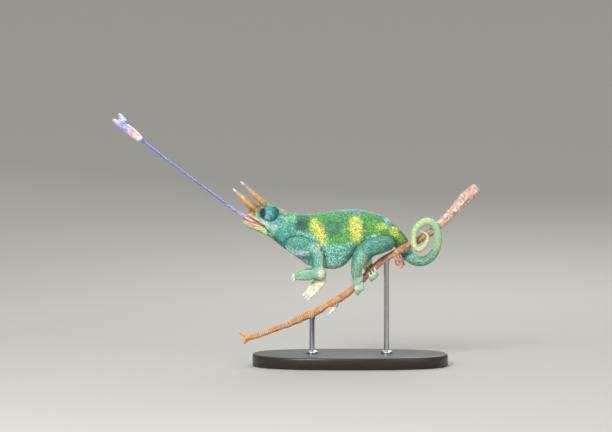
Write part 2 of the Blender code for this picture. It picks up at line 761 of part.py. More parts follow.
def make_trunk():
    """The neck and the torso, each with its stretch of the back crest."""
    sections = trunk_sections()
    split = 2 * NECK_ROW
    neck = clear_end(clear_start(sections[: split + 1]))
    low = crest(sections[1 : split + 1], CREST_STEP, lambda t: CREST_HEIGHT * (0.45 + 0.55 * t))
    node("neck", "skin_teal", [section_loft(neck, TRUNK_SIDES), *low])
    torso = clear_end(clear_start(sections[split:]))
    high = crest(sections[split:], CREST_STEP, lambda t: CREST_HEIGHT * (1.0 - 0.45 * t))
    node("torso", "skin_green", [section_loft(torso, TRUNK_SIDES), *high])


def tail_sections():
    """Sections down the tail. The first few turn from the trunk's last section to the path's own."""
    end = trunk_sections()[-1]
    rows = even_steps(TAIL, 51)
    made = stations(rows, end.up)
    blend = 5
    for k in range(blend):
        share = k / blend
        own = made[k]
        side = unit((1 - share) * end.side * np.sign(end.side @ own.side) + share * own.side)
        up = unit((1 - share) * end.up + share * own.up)
        size = (1 - share) * end.top + share * own.top
        width = (1 - share) * end.width + share * own.width
        centre = own.centre if k else end.centre
        made[k] = own._replace(centre=centre, side=side, up=up, top=size, bottom=size, width=width)
    return made


def make_tail():
    """The tail in lengths, the first with the crest's last cones."""
    sections = tail_sections()
    cuts = [round(share * (len(sections) - 1)) for share in TAIL_CUTS]
    for number, (low, high) in enumerate(zip(cuts, cuts[1:]), start=1):
        length = clear_start(sections[low : high + 1])
        last = high == cuts[-1]
        length = domed(length, False, True) if last else clear_end(length)
        node(f"tail_{number}", "skin_teal" if number < 3 else "skin_pale", [section_loft(length, TAIL_SIDES)])


def limb(rows, side, joint, root_name, end_name, count, cutters):
    """A limb's two lengths, parted at its joint and cut clear of the trunk and what else is named."""
    placed = [(x, out * side, z, deep, thick) for x, out, z, deep, thick in rows]
    sections = stations(even_steps(placed, count), side * SIDE)
    sections = [s._replace(width=s.top, top=s.width, bottom=s.width) for s in sections]
    split = round(joint * (count - 1))
    body = [trunk_grown(), *cutters]
    upper = domed(clear_end(sections[: split + 1]), True, False)
    node(root_name, "skin_teal", [section_loft(upper, 12)], body)
    lower = clear_end(clear_start(sections[split:]))
    node(end_name, "skin_teal", [section_loft(lower, 12)], body)
    return sections[-1]


def claw(tip, heading, curl):
    """A small hooked claw that starts inside the toe's tip."""
    rows = []
    for place in (-0.4, 0.35, 1.0):
        point = tip + heading * CLAW_LENGTH * place + curl * 1.1 * max(place, 0) ** 2
        rows.append((*point, np.interp(place, (-0.4, 0.35, 1), (CLAW_RADIUS, CLAW_RADIUS * 0.75, 0.16))))
    return section_loft(stations(rows, curl), 5)


def hand_bundle(points, side, count, bundle, curl):
    """Toes fused side by side in one bundle, which part only towards their clawed tips."""
    path = even_steps([(x, out * side, z) for x, out, z in points], 7)
    headings = np.gradient(path, axis=0)
    shares = np.linspace(0, 1, len(path))
    radius, spread = HAND_TOE_RADIUS[bundle], HAND_SPREAD[bundle]
    spreads = np.interp(shares, (0, 0.55, 1), (spread * 0.8, spread, HAND_TIP_SPREAD[bundle]))
    mitt = [(*path[k], radius * 0.85, spreads[k] + radius * 0.75) for k in range(5)]
    pieces = [section_loft(domed(stations(mitt, SIDE), True, True), MITT_SIDES)]
    for place in np.linspace(-1, 1, count):
        rows = []
        for k in range(2, len(path)):
            across = unit(np.cross(headings[k], SIDE))
            middle = path[k] + across * place * spreads[k]
            rows.append((*middle, radius * (1.05 - 0.42 * shares[k])))
        pieces.append(section_loft(domed(stations(rows, SIDE), True, True), TOE_SIDES))
        heading = unit(headings[-1] + across * place * 0.3)
        pieces.append(claw(np.array(rows[-1][:3]) + heading * radius * 0.5, heading, curl))
    return pieces


def make_hand(word, side, arm_end):
    """A raised hand: the palm with the outer bundle of two toes, and the inner bundle of three."""
    palm_at = np.array([HAND_PALM[0], HAND_PALM[1] * side, HAND_PALM[2]])
    down = unit(np.cross(arm_end.side, arm_end.up))
    down = down if down[2] < 0 else -down
    wrist = turned(((GAP / 2, arm_end.width * 0.98), (2.5, arm_end.width)), arm_end.centre, down, SIDE, 12)
    palm = ball(palm_at, (5.2, 5.0, 5.2), (FORWARD, SIDE, CROWNWARD), 7, 10)
    outer = hand_bundle(HAND_OUTER, side, 2, "outer", np.array([0, -0.4 * side, -1.0]))
    inner = hand_bundle(HAND_INNER, side, 3, "inner", np.array([-0.4, 0.4 * side, -0.3]))
    arm = arm_end._replace(centre=arm_end.centre - down * 6)
    arm_block = section_loft([arm, arm_end._replace(centre=arm_end.centre + down * JOINT_CUT)], 12, grow=1.5)
    node(f"hand_{word}", "skin_teal", [palm, wrist, *outer], [arm_block])
    grown_palm = ball(palm_at, (5.5, 5.3, 5.5), (FORWARD, SIDE, CROWNWARD), 7, 10)
    node(f"hand_{word}_inner_toes", "sole", inner, [grown_palm, arm_block])


def branch_rows():
    """The perch's middle line and radius at even steps."""
    return even_steps(BRANCH, 42)


def branch_solid(grow=0.0):
    """The bare stem of the perch, with no spurs."""
    return section_loft(stations(branch_rows(), SIDE), BRANCH_SIDES, grow=grow)


def branch_frame(x):
    """The perch's middle, radius, direction and upper-left normal where it passes x."""
    rows = branch_rows()
    here = np.array([np.interp(x, rows[:, 0], rows[:, k]) for k in range(4)])
    near = np.array([[np.interp(x + d, rows[:, 0], rows[:, k]) for k in range(3)] for d in (-3, 3)])
    heading = unit(near[1] - near[0])
    normal = unit(np.cross(heading, SIDE))
    normal = normal if normal[2] > 0 else -normal
    return here[:3], here[3], heading, normal


def wrapped(frame, angle, lift, along, skew):
    """A point round the perch, at an angle, a height over its bark and a distance along it.

    The skew slides the upper side up the perch and the lower side down it, as the leg slants.
    """
    centre, radius, heading, normal = frame
    turn = math.radians(angle)
    out = math.cos(turn) * normal - math.sin(turn) * SIDE
    slide = along + skew * (radius + lift) * math.cos(turn)
    return centre + out * (radius + lift) + heading * slide


def foot_mitt(frame, angles, bundle, skew):
    """The fused part of a bundle of toes that wraps the perch, as sections."""
    start, end = angles
    spread = FOOT_SPREAD[bundle] + FOOT_TOE_RADIUS * 0.7
    rows = []
    for angle in np.linspace(start, start + 0.75 * (end - start), TOE_STEPS):
        rows.append((*wrapped(frame, angle, TOE_LIFT, 0.0, skew), spread, FOOT_TOE_RADIUS * 0.9))
    return domed(stations(rows, frame[2]), True, True)


def foot_bundle(frame, angles, bundle, skew):
    """Toes that wrap the perch side by side, with claws that carry on round it."""
    start, end = angles
    turn = math.copysign(1.0, end - start)
    pieces = [section_loft(foot_mitt(frame, angles, bundle, skew), MITT_SIDES)]
    for number, place in enumerate(np.linspace(-1, 1, TOES[bundle])):
        along = place * FOOT_SPREAD[bundle]
        reach = end - turn * (8.0 if number % 2 else 0.0)
        rows = []
        for angle in np.linspace(start + 0.4 * (end - start), reach, TOE_STEPS - 2):
            rows.append((*wrapped(frame, angle, TOE_LIFT, along, skew), FOOT_TOE_RADIUS))
        pieces.append(section_loft(domed(stations(rows, frame[2]), True, True), TOE_SIDES))
        hook = []
        for share in (-0.3, 0.3, 1.0):
            angle = reach + turn * (10 + 30 * share)
            radius = np.interp(share, (-0.3, 0.3, 1), (CLAW_RADIUS, CLAW_RADIUS * 0.75, 0.16))
            hook.append((*wrapped(frame, angle, TOE_LIFT, along, skew), radius))
        pieces.append(section_loft(stations(hook, frame[2]), 5))
    return pieces


def make_foot(word, side, leg_end):
    """A foot on the perch: the palm with the outer bundle of three toes, and the inner of two."""
    place = FEET[word]
    frame = branch_frame(place["x"])
    skew = place["skew"]
    palm_at = wrapped(frame, place["palm"], PALM_HEIGHT, 0.0, skew)
    out = unit(palm_at - frame[0])
    across = unit(np.cross(frame[2], out))
    axes = (frame[2], across, out)
    palm = ball(palm_at, PALM_SIZE, axes, 7, 9)
    ankle = [(*(leg_end.centre), leg_end.width * 0.98), (*palm_at, ANKLE_RADIUS)]
    shin = stations(smooth(ankle, 4), leg_end.up)
    shin[0] = shin[0]._replace(side=leg_end.side, up=leg_end.up)
    link = section_loft(clear_start(shin), 12)
    bark = branch_solid(GAP)
    back = unit(leg_end.centre - palm_at)
    normal = unit(np.cross(leg_end.side, leg_end.up))
    normal = normal if normal @ back > 0 else -normal
    block_end = leg_end._replace(centre=leg_end.centre - normal * JOINT_CUT)
    leg_block = section_loft([block_end, leg_end._replace(centre=leg_end.centre + normal * 8)], 12, grow=2.0)
    outer = foot_bundle(frame, place["outer"], "outer", skew)
    node(f"foot_{word}", "skin_teal", [palm, link, *outer], [bark, leg_block], "MANIFOLD")
    grown_palm = ball(palm_at, PALM_SIZE + GAP, axes, 7, 9)
    inner = foot_bundle(frame, place["inner"], "inner", skew)
    grown_outer = section_loft(foot_mitt(frame, place["outer"], "outer", skew), MITT_SIDES, grow=GAP)
    cutters = [bark, grown_palm, leg_block, grown_outer]
    node(f"foot_{word}_inner_toes", "sole", inner, cutters, "MANIFOLD")


def make_limbs():
    """Both forelegs, raised in the air, and both hind legs, gripping the perch."""
    tail_root = section_loft(tail_sections()[:12], TAIL_SIDES, grow=GAP)
    for word, side, leg in (("left", LEFT, LEG_LEFT), ("right", RIGHT, LEG_RIGHT)):
        arm_end = limb(ARM, side, ELBOW, f"upper_arm_{word}", f"forearm_{word}", 15, [other_half(0.0, side)])
        make_hand(word, side, arm_end)
        cutters = [tail_root, branch_solid(GAP), other_half(PELVIS_MIDDLE, side)]
        leg_end = limb(leg, side, KNEE, f"thigh_{word}", f"shank_{word}", 15, cutters)
        make_foot(word, side, leg_end)


def make_perch():
    """The perch with its stub, bud and forked tip, sawn off past the tail."""
    bud = [(35.4, -2.2, 85.6, 2.0), (36.4, -2.6, 82.6, 2.8), (37.6, -2.8, 79.8, 4.1), (38.8, -2.8, 77.6, 3.4)]
    spur = [
        (-10.4, -1.4, 47.8, 2.0),
        (-11.6, -1.6, 44.2, 1.9),
        (-14.4, -1.8, 41.2, 1.4),
        (-17.2, -2.0, 39.0, 0.7),
    ]
    fork = [(-78.0, -3.0, 21.4, 1.8), (-81.6, -3.0, 23.0, 1.5), (-84.6, -3.4, 24.4, 1.0)]
    twig = [(-78.4, -3.0, 20.8, 1.9), (-80.2, -3.0, 18.8, 1.7), (-81.0, -2.8, 17.0, 1.1)]
    pieces = [branch_solid()]
    for rows in (bud, spur, fork, twig):
        pieces.append(tube(rows, 5, 7, SIDE, True, True))
    node("perch", "bark", pieces)


def make_stand():
    """A flat oval base with two short rods up to the underside of the perch."""
    rings = []
    for height, inset in ((0.0, 0.0), (STAND_HEIGHT - STAND_EDGE, 0.0), (STAND_HEIGHT, STAND_EDGE)):
        length, depth = STAND_LENGTH / 2 - inset, STAND_DEPTH / 2 - inset
        middle, along = np.array([0, 0, height]), np.array([1.0, 0, 0])
        section = Station(middle, along, SIDE, length, depth, depth, 0.0, 2.6)
        rings.append(ring(section, 40))
    node("stand_base", "stand", [loft(rings)])
    bark = branch_solid(GAP)
    for name, x in ROD_PLACES.items():
        centre, radius, _, _ = branch_frame(x)
        bottom, top = STAND_HEIGHT + GAP, centre[2]
        profile = (
            (0.0, ROD_RADIUS + 2.6),
            (1.8, ROD_RADIUS + 2.4),
            (2.4, ROD_RADIUS),
            (top - bottom - radius - 3.4, ROD_RADIUS),
            (top - bottom - radius - 1.8, ROD_RADIUS + 1.0),
            (top - bottom, ROD_RADIUS + 1.0),
        )
        rod = turned(profile, (x, centre[1], bottom), (0, 0, 1), SIDE, 14)
        node(name, "rod", [rod], [bark])


def main():
    """Clears the scene and models the whole piece."""
    for old in list(bpy.data.objects):
        bpy.data.objects.remove(old)
    make_head()
    make_trunk()
    make_tail()
    make_limbs()
    make_perch()
    make_stand()


main()
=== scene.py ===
"""The looks of a life-size Jackson's chameleon on its perch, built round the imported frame.

One skin replaces the animal's flesh and carries a coat of raised scales. Horns, eyes, claws and
the shot-out tongue are pieces of their own. The head points to -X and the left side faces -Y.
"""

import json
import math
from collections import namedtuple

import bmesh
import bpy
import numpy as np
from bpy.props import FloatProperty, FloatVectorProperty, IntProperty, PointerProperty
from mathutils.bvhtree import BVHTree
from mathutils.kdtree import KDTree
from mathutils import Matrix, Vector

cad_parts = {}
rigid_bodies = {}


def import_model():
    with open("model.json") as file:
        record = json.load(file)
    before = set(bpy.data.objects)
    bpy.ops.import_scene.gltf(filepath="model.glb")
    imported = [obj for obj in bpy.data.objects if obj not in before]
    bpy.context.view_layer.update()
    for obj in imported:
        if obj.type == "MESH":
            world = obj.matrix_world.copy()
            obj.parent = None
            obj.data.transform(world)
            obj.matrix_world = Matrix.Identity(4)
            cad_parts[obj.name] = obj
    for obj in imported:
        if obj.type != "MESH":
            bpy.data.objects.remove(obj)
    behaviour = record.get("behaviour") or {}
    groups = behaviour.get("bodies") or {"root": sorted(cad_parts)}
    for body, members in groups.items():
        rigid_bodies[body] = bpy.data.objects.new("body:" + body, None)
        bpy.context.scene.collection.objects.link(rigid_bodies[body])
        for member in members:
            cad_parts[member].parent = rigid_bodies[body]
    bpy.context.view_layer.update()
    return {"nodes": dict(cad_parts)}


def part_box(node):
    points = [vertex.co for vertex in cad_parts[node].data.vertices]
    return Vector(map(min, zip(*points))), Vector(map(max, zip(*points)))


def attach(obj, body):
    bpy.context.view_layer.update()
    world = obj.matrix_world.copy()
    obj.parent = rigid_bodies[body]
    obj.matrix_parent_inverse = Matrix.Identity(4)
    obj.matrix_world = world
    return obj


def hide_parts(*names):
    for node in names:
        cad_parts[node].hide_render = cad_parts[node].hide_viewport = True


bl_info = {
    "name": "Chameleon figure",
    "version": (1, 0, 0),
    "blender": (4, 5, 0),
    "location": "View3D > Sidebar > Chameleon",
    "description": "Dresses a packed chameleon figure with skin, scales, horns, bark and a stand",
    "category": "Add Mesh",
}

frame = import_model()
MM = 0.001

# The photograph's camera: what it looks at, how far off it stands, and the picture's width there.
LOOK_AT = (-0.0339, 0.0, 0.1147)
CAMERA_DISTANCE = 1.2
FIELD_WIDTH = 0.4712

# The width of a full-frame camera's picture, in millimetres.
SENSOR = 36.0

# The head's own frame, in millimetres: its middle, its pitch, and the directions that follow.
HEAD_MIDDLE = np.array([-63.1, 0.0, 111.7])
HEAD_PITCH = math.radians(30.0)
FORWARD = np.array([-math.cos(HEAD_PITCH), 0.0, math.sin(HEAD_PITCH)])
CROWNWARD = np.array([math.sin(HEAD_PITCH), 0.0, math.cos(HEAD_PITCH)])
SIDE = np.array([0.0, 1.0, 0.0])
LEFT, RIGHT = -1.0, 1.0
SIDES = {"left": LEFT, "right": RIGHT}

# The eye turret in the head's frame (ahead, outward, up), the size of its ball, and the gaze.
TURRET = np.array([1.0, 4.9, 5.0])
TURRET_RADIUS = 7.7
GAZE = np.array([0.78, 0.50, -0.37])

# Lines of large scales in the head's frame: the lips (ahead, outward), which follow the mouth's
# edges, then the casque's rim and the brow (ahead, outward, up).
UPPER_LIP = ((14.8, 1.6), (14.0, 3.4), (11, 5.2), (6, 7.0), (1, 8.2), (-3.6, 8.6))
LOWER_LIP = ((14.8, 1.4), (14.0, 3.2), (11.5, 4.6), (7, 6.4), (2, 7.8), (-3.0, 8.6))
RIM_LINE = (
    (9.4, 5.6, 5.2),
    (7.0, 5.9, 7.6),
    (4.4, 5.9, 10.4),
    (0, 5.0, 11.4),
    (-5, 4.0, 12.0),
    (-9.4, 2.6, 12.4),
)
BROW_LINE = ((13.0, 3.9, 3.6), (11.0, 5.0, 2.0), (9.6, 6.0, -1.0), (7.0, 7.2, -3.0))

# A claw: how far it stands out of its toe, then the corners, the radius and the span of the ring
# at its tip, by which it is found on the CAD node.
CLAW_REACH = 1.8
CLAW_CORNERS = 5
CLAW_TIP = 0.16
CLAW_SPAN = 0.42

# Where the toe's skin is drawn back to the claw's root: from how far behind it, how far beyond it
# and how far off the claw's axis.
CLEARED_BEHIND, CLEARED_BEYOND, CLEARED_ROUND = 0.15, 3.0, 0.75

# How wide a scale's patch is on the unwrap that the coat is baked with.
BAKE_PATCH = 0.003

# Grains to a metre in each finish's pattern, from the size of the real ones.
SKIN_FOLDS = 1800.0  # soft skin's creases, 0.55 mm
HORN_CLOUDS = 420.0  # clouds in the horn, 2.4 mm
CLAW_CLOUDS = 900.0  # clouds in the claws, 1.1 mm
TONGUE_FOLDS = 500.0  # folds of the tongue's muscle, 2 mm
BARK_GRAIN = 900.0  # bark fibres, drawn at 1.1 mm, coarser than real ones so that they show
STEEL_BRUSHING = 700.0  # brush marks, drawn at 1.4 mm, coarser than real ones so that they show
WOOD_STRETCH = (18.0, 240.0, 240.0)  # lengths of wood grain, 14 mm long and 1 mm wide at a scale of 4

# The stand's base is an oval between an ellipse, 2, and an oblong, more.
BASE_SQUARENESS = 2.6

# The floor's curve up into a wall: its radius, and how far up it goes in radians.
SWEEP_RADIUS = 3.0
SWEEP_END = 1.2

# How many sides the base and the floor have.
ROUND_SIDES = 96

# The lamps: name, place, size, and power as a share of the key light's setting.
LAMPS = (
    ("key", (-0.55, -1.30, 0.75), 0.40, 1.25),
    ("fill", (0.95, -1.1, 0.35), 1.0, 0.35),
    ("back", (0.2, 1.2, 1.1), 0.9, 0.6),
    ("top", (0.0, 0.5, 4.5), 5.0, 4.0),
)

# Horns: root and tip in the head's frame, then root and half-way radii.
HORNS = {
    "horn_snout": ((13.2, 0.0, 2.5), (35.6, 0.0, 7.4), 3.5, 2.5, LEFT),
    "horn_brow_left": ((6.6, 4.3, 8.9), (33.0, 5.6, 15.2), 2.7, 1.8, LEFT),
    "horn_brow_right": ((6.6, 4.3, 8.9), (33.0, 5.6, 15.2), 2.7, 1.8, RIGHT),
}

# The perch's middle line (x, y, z) and its radius, from its natural tip to its sawn end.
PERCH_LINE = (
    (-80.4, -3.0, 20.4, 2.0),
    (-73.2, -3.0, 22.2, 2.1),
    (-60.4, -2.8, 26.7, 2.1),
    (-46.9, -2.4, 31.7, 2.4),
    (-34.3, -2.0, 37.4, 3.0),
    (-24.8, -1.8, 41.7, 3.1),
    (-17.2, -1.5, 46.3, 2.3),
    (-10.2, -1.3, 49.8, 3.4),
    (-4.5, -1.1, 53.6, 2.9),
    (6.4, -1.0, 62.6, 2.8),
    (17.4, -1.2, 74.0, 2.9),
    (25.7, -1.6, 81.1, 2.9),
    (37.9, -2.0, 88.1, 2.8),
    (58.6, -1.2, 99.8, 3.2),
    (69.6, -0.6, 108.2, 3.6),
    (79.3, 0.0, 118.2, 4.0),
    (89.2, 0.0, 128.8, 5.2),
    (98.0, 0.0, 136.8, 4.4),
)

FLESH = [
    name
    for name in sorted(frame["nodes"])
    if name.split("_")[0] not in ("stand", "perch", "eye", "horn", "tongue")
]

# The coat's pieces: the nodes that each covers, and the closest that two of its scales stand, in
# millimetres. The finest real scales, on the face and the feet, are drawn coarser so that they show.
COATS = {
    "scales_head": (("head", "lower_jaw", "eyelid"), 0.60),
    "scales_neck": (("neck", "upper_arm"), 0.84),
    "scales_flank_left": (("torso",), 0.94),
    "scales_flank_right": (("torso",), 0.94),
    "scales_tail_root": (("tail_1", "tail_2"), 0.80),
    "scales_tail_coil": (("tail_3", "tail_4", "tail_5"), 0.64),
    "scales_arms": (("forearm",), 0.66),
    "scales_legs": (("thigh", "shank"), 0.74),
    "scales_hands_and_feet": (("hand", "foot"), 0.58),
}

# Flesh parts in groups: a fold runs where two groups meet.
FOLD_GROUPS = (("eyelid",), ("upper_arm", "forearm", "hand"), ("thigh", "shank", "foot"))

# Markings on the neck and trunk, some of them painted shade, seen from the side: middle (x, z), half
# length, half width, how far the long axis leans back from upright in degrees, colour, strength.
Mark = namedtuple("Mark", "name x z long wide lean colour strength")
MARKS = (
    # Painted shade: the shoulder's green is darkened, and the nape behind the head is darker still.
    Mark("shoulder green", -36.0, 112.0, 4.6, 6.0, 0, "#2c8046", 0.85),
    Mark("nape shade", -37.5, 106.5, 4.0, 5.6, -20, "#14403f", 0.85),
    Mark("nape gleam", -46.0, 112.5, 2.2, 5.0, 30, "#8fdc7c", 0.6),
    # Painted shade: the shadow of the throat's fold, in dark green.
    Mark("gular shade", -56.0, 95.5, 5.5, 1.8, 45, "#3f7d62", 0.75),
    Mark("saddle shade", -15.0, 105.5, 5.4, 6.8, 0, "#1f6a56", 0.85),
    Mark("saddle heart", -15.5, 106.4, 2.4, 3.6, 0, "#3fa06a", 0.75),
    Mark("saddle bar", -7.4, 108.5, 8.0, 2.0, 0, "#3f7a72", 0.70),
    Mark("hip bar", 10.6, 103.2, 6.4, 1.8, 0, "#23694f", 0.80),
    Mark("front band", -24.4, 102.7, 10.6, 3.6, 26, "#f2ec62", 1.0),
    Mark("middle band", 4.4, 103.8, 10.8, 4.7, 2, "#e6e668", 1.0),
    Mark("rump glow", 17.5, 105.5, 5.0, 5.0, 0, "#78b84e", 0.6),
    Mark("rump fleck", 24.6, 106.8, 2.8, 4.2, 0, "#d3e25a", 0.85),
    Mark("rear fleck", 33.6, 102.6, 4.2, 3.4, 50, "#cfe05c", 0.9),
    Mark("tail fleck", 39.4, 97.2, 3.6, 2.8, 40, "#b8dc62", 0.9),
    Mark("ridge blue", 5.0, 118.6, 2.6, 5.0, 0, "#6aa3ac", 0.8),
    Mark("rump frost", 29.5, 112.2, 2.6, 5.0, 60, "#9fd6cc", 0.8),
    Mark("hip frost", 21.0, 99.2, 1.2, 6.4, 0, "#dfeadb", 0.8),
    # Painted shade: a dark line in the crease of the groin.
    Mark("groin shade", 27.0, 96.6, 1.2, 9.0, -8, "#1f5a4a", 0.7),
)


def linear(code):
    """An sRGB hex value as a linear RGBA colour."""
    parts = [int(code[i : i + 2], 16) / 255 for i in (1, 3, 5)]
    return (*(c / 12.92 if c <= 0.04045 else ((c + 0.055) / 1.055) ** 2.4 for c in parts), 1.0)


def paint_of(code):
    """A hex value as a linear colour for arrays."""
    return np.array(linear(code)[:3])


def add(tree, kind, inputs=None, stops=(), **settings):
    """One node of a tree, with its settings, and each input linked or set by its name or number.

    Stops are a colour ramp's places and hex colours.
    """
    made = tree.nodes.new(kind)
    for name, value in settings.items():
        setattr(made, name, value)
    while stops and len(made.color_ramp.elements) < len(stops):
        made.color_ramp.elements.new(0.5)
    for number, (place, colour) in enumerate(stops):
        made.color_ramp.elements[number].position = place
        made.color_ramp.elements[number].color = linear(colour)
    for socket, value in (inputs or {}).items():
        if isinstance(value, bpy.types.NodeSocket):
            tree.links.new(value, made.inputs[socket])
        else:
            made.inputs[socket].default_value = value
    return made


def blank_finish(name):
    """A new material, its node tree and its Principled shader."""
    material = bpy.data.materials.new(name)
    material.use_nodes = True
    return material, material.node_tree, material.node_tree.nodes["Principled BSDF"]


def unit(vector):
    """The vector at length one."""
    return np.asarray(vector, float) / np.linalg.norm(vector)


def in_head(ahead, out, up, side=LEFT):
    """A point of the head's frame, in the model's frame."""
    return HEAD_MIDDLE + ahead * FORWARD + out * side * SIDE + up * CROWNWARD


def head_direction(ahead, out, up, side=LEFT):
    """A direction of the head's frame, in the model's frame."""
    return unit(ahead * FORWARD + out * side * SIDE + up * CROWNWARD)


def mottle(points, size, seed):
    """Smooth random unevenness, about -1 to 1, with patches of the given size in millimetres."""
    draw = np.random.default_rng(seed)
    waves = draw.normal(size=(3, 18)) * (2.2 / size)
    phases = draw.uniform(0, 2 * math.pi, 18)
    return np.sin(points @ waves + phases).sum(1) / 4.2


def plates(points, size, seed):
    """A mosaic of plates of a size in millimetres: each point's gap to a border and its plate's luck."""
    draw = np.random.default_rng(seed)
    low, high = points.min(0) - size, points.max(0) + size
    seeds = draw.uniform(low, high, (int(np.prod((high - low) / size)), 3))
    tree = KDTree(len(seeds))
    for k, place in enumerate(seeds):
        tree.insert(place, k)
    tree.balance()
    luck = draw.uniform(size=len(seeds))
    nearest = [tree.find_n(point, 2) for point in points]
    return np.array([two[1][2] - two[0][2] for two in nearest]), luck[[two[0][1] for two in nearest]]


def plates_where(chosen, points, size, seed):
    """The mosaic's values on the chosen points. Elsewhere the border is far and the luck even."""
    here = np.flatnonzero(chosen)
    border, luck = np.ones(len(points)), np.full(len(points), 0.5)
    border[here], luck[here] = plates(points[here], size, seed)
    return border, luck


def step(value, low, high):
    """A smooth rise from 0 at low to 1 at high."""
    t = np.clip((value - low) / (high - low), 0, 1)
    return t * t * (3 - 2 * t)


def smooth_rows(rows, count):
    """Rows at even steps along a smooth curve through the given rows."""
    rows = np.asarray(rows, float)
    padded = np.vstack([2 * rows[0] - rows[1], rows, 2 * rows[-1] - rows[-2]])
    fine = []
    for place in np.linspace(0, len(rows) - 1, 16 * len(rows)):
        k = min(int(place), len(rows) - 2)
        t = place - k
        a, b, c, d = padded[k : k + 4]
        square, cube = 2 * a - 5 * b + 4 * c - d, 3 * b - a - 3 * c + d
        fine.append(0.5 * (2 * b + (c - a) * t + square * t**2 + cube * t**3))
    fine = np.array(fine)
    along = np.concatenate([[0], np.cumsum(np.linalg.norm(np.diff(fine[:, :3], axis=0), axis=1))])
    wanted = np.linspace(0, along[-1], count)
    return np.column_stack([np.interp(wanted, along, fine[:, k]) for k in range(fine.shape[1])])


def between_rings(rings, sides):
    """The four-sided faces that join each ring of points to the next."""
    faces = []
    for k in range(rings - 1):
        for i in range(sides):
            j = (i + 1) % sides
            faces.append((k * sides + i, k * sides + j, (k + 1) * sides + j, (k + 1) * sides + i))
    return faces


def tube(rows, sides, hint):
    """A closed tube's points and faces along rows of x, y, z and radius."""
    rows = np.asarray(rows, float)
    tangents = np.gradient(rows[:, :3], axis=0)
    up = np.asarray(hint, float)
    turn = np.arange(sides) * 2 * math.pi / sides
    points = []
    for row, tangent in zip(rows, tangents):
        tangent = unit(tangent)
        up = unit(up - (up @ tangent) * tangent)
        side = np.cross(tangent, up)
        points.append(row[:3] + np.outer(row[3] * np.cos(turn), up) + np.outer(row[3] * np.sin(turn), side))
    last = (len(rows) - 1) * sides
    points = np.vstack([*points, rows[:1, :3], rows[-1:, :3]])
    faces = between_rings(len(rows), sides)
    for i in range(sides):
        j = (i + 1) % sides
        faces.append((len(points) - 2, j, i))
        faces.append((len(points) - 1, last + i, last + j))
    return points, faces


def mesh_of(name, parts):
    """One mesh in metres from parts of points and faces in millimetres, with faces outward."""
    made = bmesh.new()
    for points, faces in parts:
        corners = [made.verts.new(point) for point in np.asarray(points) * MM]
        for face in faces:
            made.faces.new([corners[i] for i in face])
    bmesh.ops.recalc_face_normals(made, faces=made.faces)
    mesh = bpy.data.meshes.new(name)
    made.to_mesh(mesh)
    made.free()
    mesh.shade_smooth()
    return mesh


def piece(name, mesh, material, replaced=()):
    """A finished piece that rides on the model and stands for the named nodes."""
    made = bpy.data.objects.new(name, mesh)
    bpy.context.scene.collection.objects.link(made)
    if material:
        mesh.materials.clear()
        mesh.materials.append(material)
    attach(made, "root")
    if replaced:
        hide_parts(*replaced)
    return made


def evaluated_mesh(obj):
    """The object's mesh with its modifiers applied, which are then removed."""
    graph = bpy.context.evaluated_depsgraph_get()
    made = bpy.data.meshes.new_from_object(obj.evaluated_get(graph))
    obj.modifiers.clear()
    return made


def read(mesh, what, width, collection=None):
    """A mesh's values as an array of rows."""
    source = mesh.vertices if collection is None else collection
    values = np.empty(len(source) * width, np.float32)
    source.foreach_get(what, values)
    return values.reshape(-1, width).astype(float)


def write(mesh, name, kind, values, domain="POINT"):
    """Stores an attribute of the mesh."""
    found = mesh.attributes.get(name) or mesh.attributes.new(name, kind, domain)
    key = {"FLOAT_COLOR": "color", "FLOAT_VECTOR": "vector", "FLOAT2": "vector"}.get(kind, "value")
    dtype = np.int32 if kind == "INT" else np.float32
    found.data.foreach_set(key, np.ascontiguousarray(values, dtype).ravel())


def outline_of(nodes):
    """Points, triangles and each triangle's node, of the named CAD nodes."""
    points, faces, owners = [], [], []
    for number, name in enumerate(nodes):
        mesh = frame["nodes"][name].data
        base = sum(len(p) for p in points)
        points.append(read(mesh, "co", 3))
        mesh.calc_loop_triangles()
        corners = np.empty(len(mesh.loop_triangles) * 3, np.int32)
        mesh.loop_triangles.foreach_get("vertices", corners)
        faces.append(corners.reshape(-1, 3) + base)
        owners += [number] * len(faces[-1])
    return np.vstack(points), np.vstack(faces), np.array(owners)


def nearest_nodes(mesh, nodes):
    """For each vertex of a mesh, the number of the CAD node whose surface is nearest."""
    points, faces, owners = outline_of(nodes)
    search = BVHTree.FromPolygons([tuple(p) for p in points], [tuple(f) for f in faces.tolist()])
    return np.array([owners[search.find_nearest(vertex.co)[2]] for vertex in mesh.vertices])


class Surface:
    """A mesh to lay things on: the nearest place with its normal, colour and place on the unwrap."""

    def __init__(self, mesh):
        self.points = read(mesh, "co", 3) / MM
        mesh.calc_loop_triangles()
        corners = np.empty(len(mesh.loop_triangles) * 3, np.int32)
        mesh.loop_triangles.foreach_get("vertices", corners)
        loops = np.empty(len(corners), np.int32)
        mesh.loop_triangles.foreach_get("loops", loops)
        self.corners, self.loops = corners.reshape(-1, 3), loops.reshape(-1, 3)
        self.search = BVHTree.FromPolygons(self.points.tolist(), self.corners.tolist())
        self.tint = read(mesh, "color", 4, mesh.attributes["tint"].data)[:, :3]
        self.unwrap = read(mesh, "uv", 2, mesh.uv_layers["OFBake"].data)

    def touch(self, point):
        """The place, normal, colour and unwrap place of the surface nearest to a point."""
        place, normal, face, _ = self.search.find_nearest(tuple(point))
        tint, unwrap = self.tint[self.corners[face, 0]], self.unwrap[self.loops[face, 0]]
        return np.array(place), np.array(normal), tint, unwrap


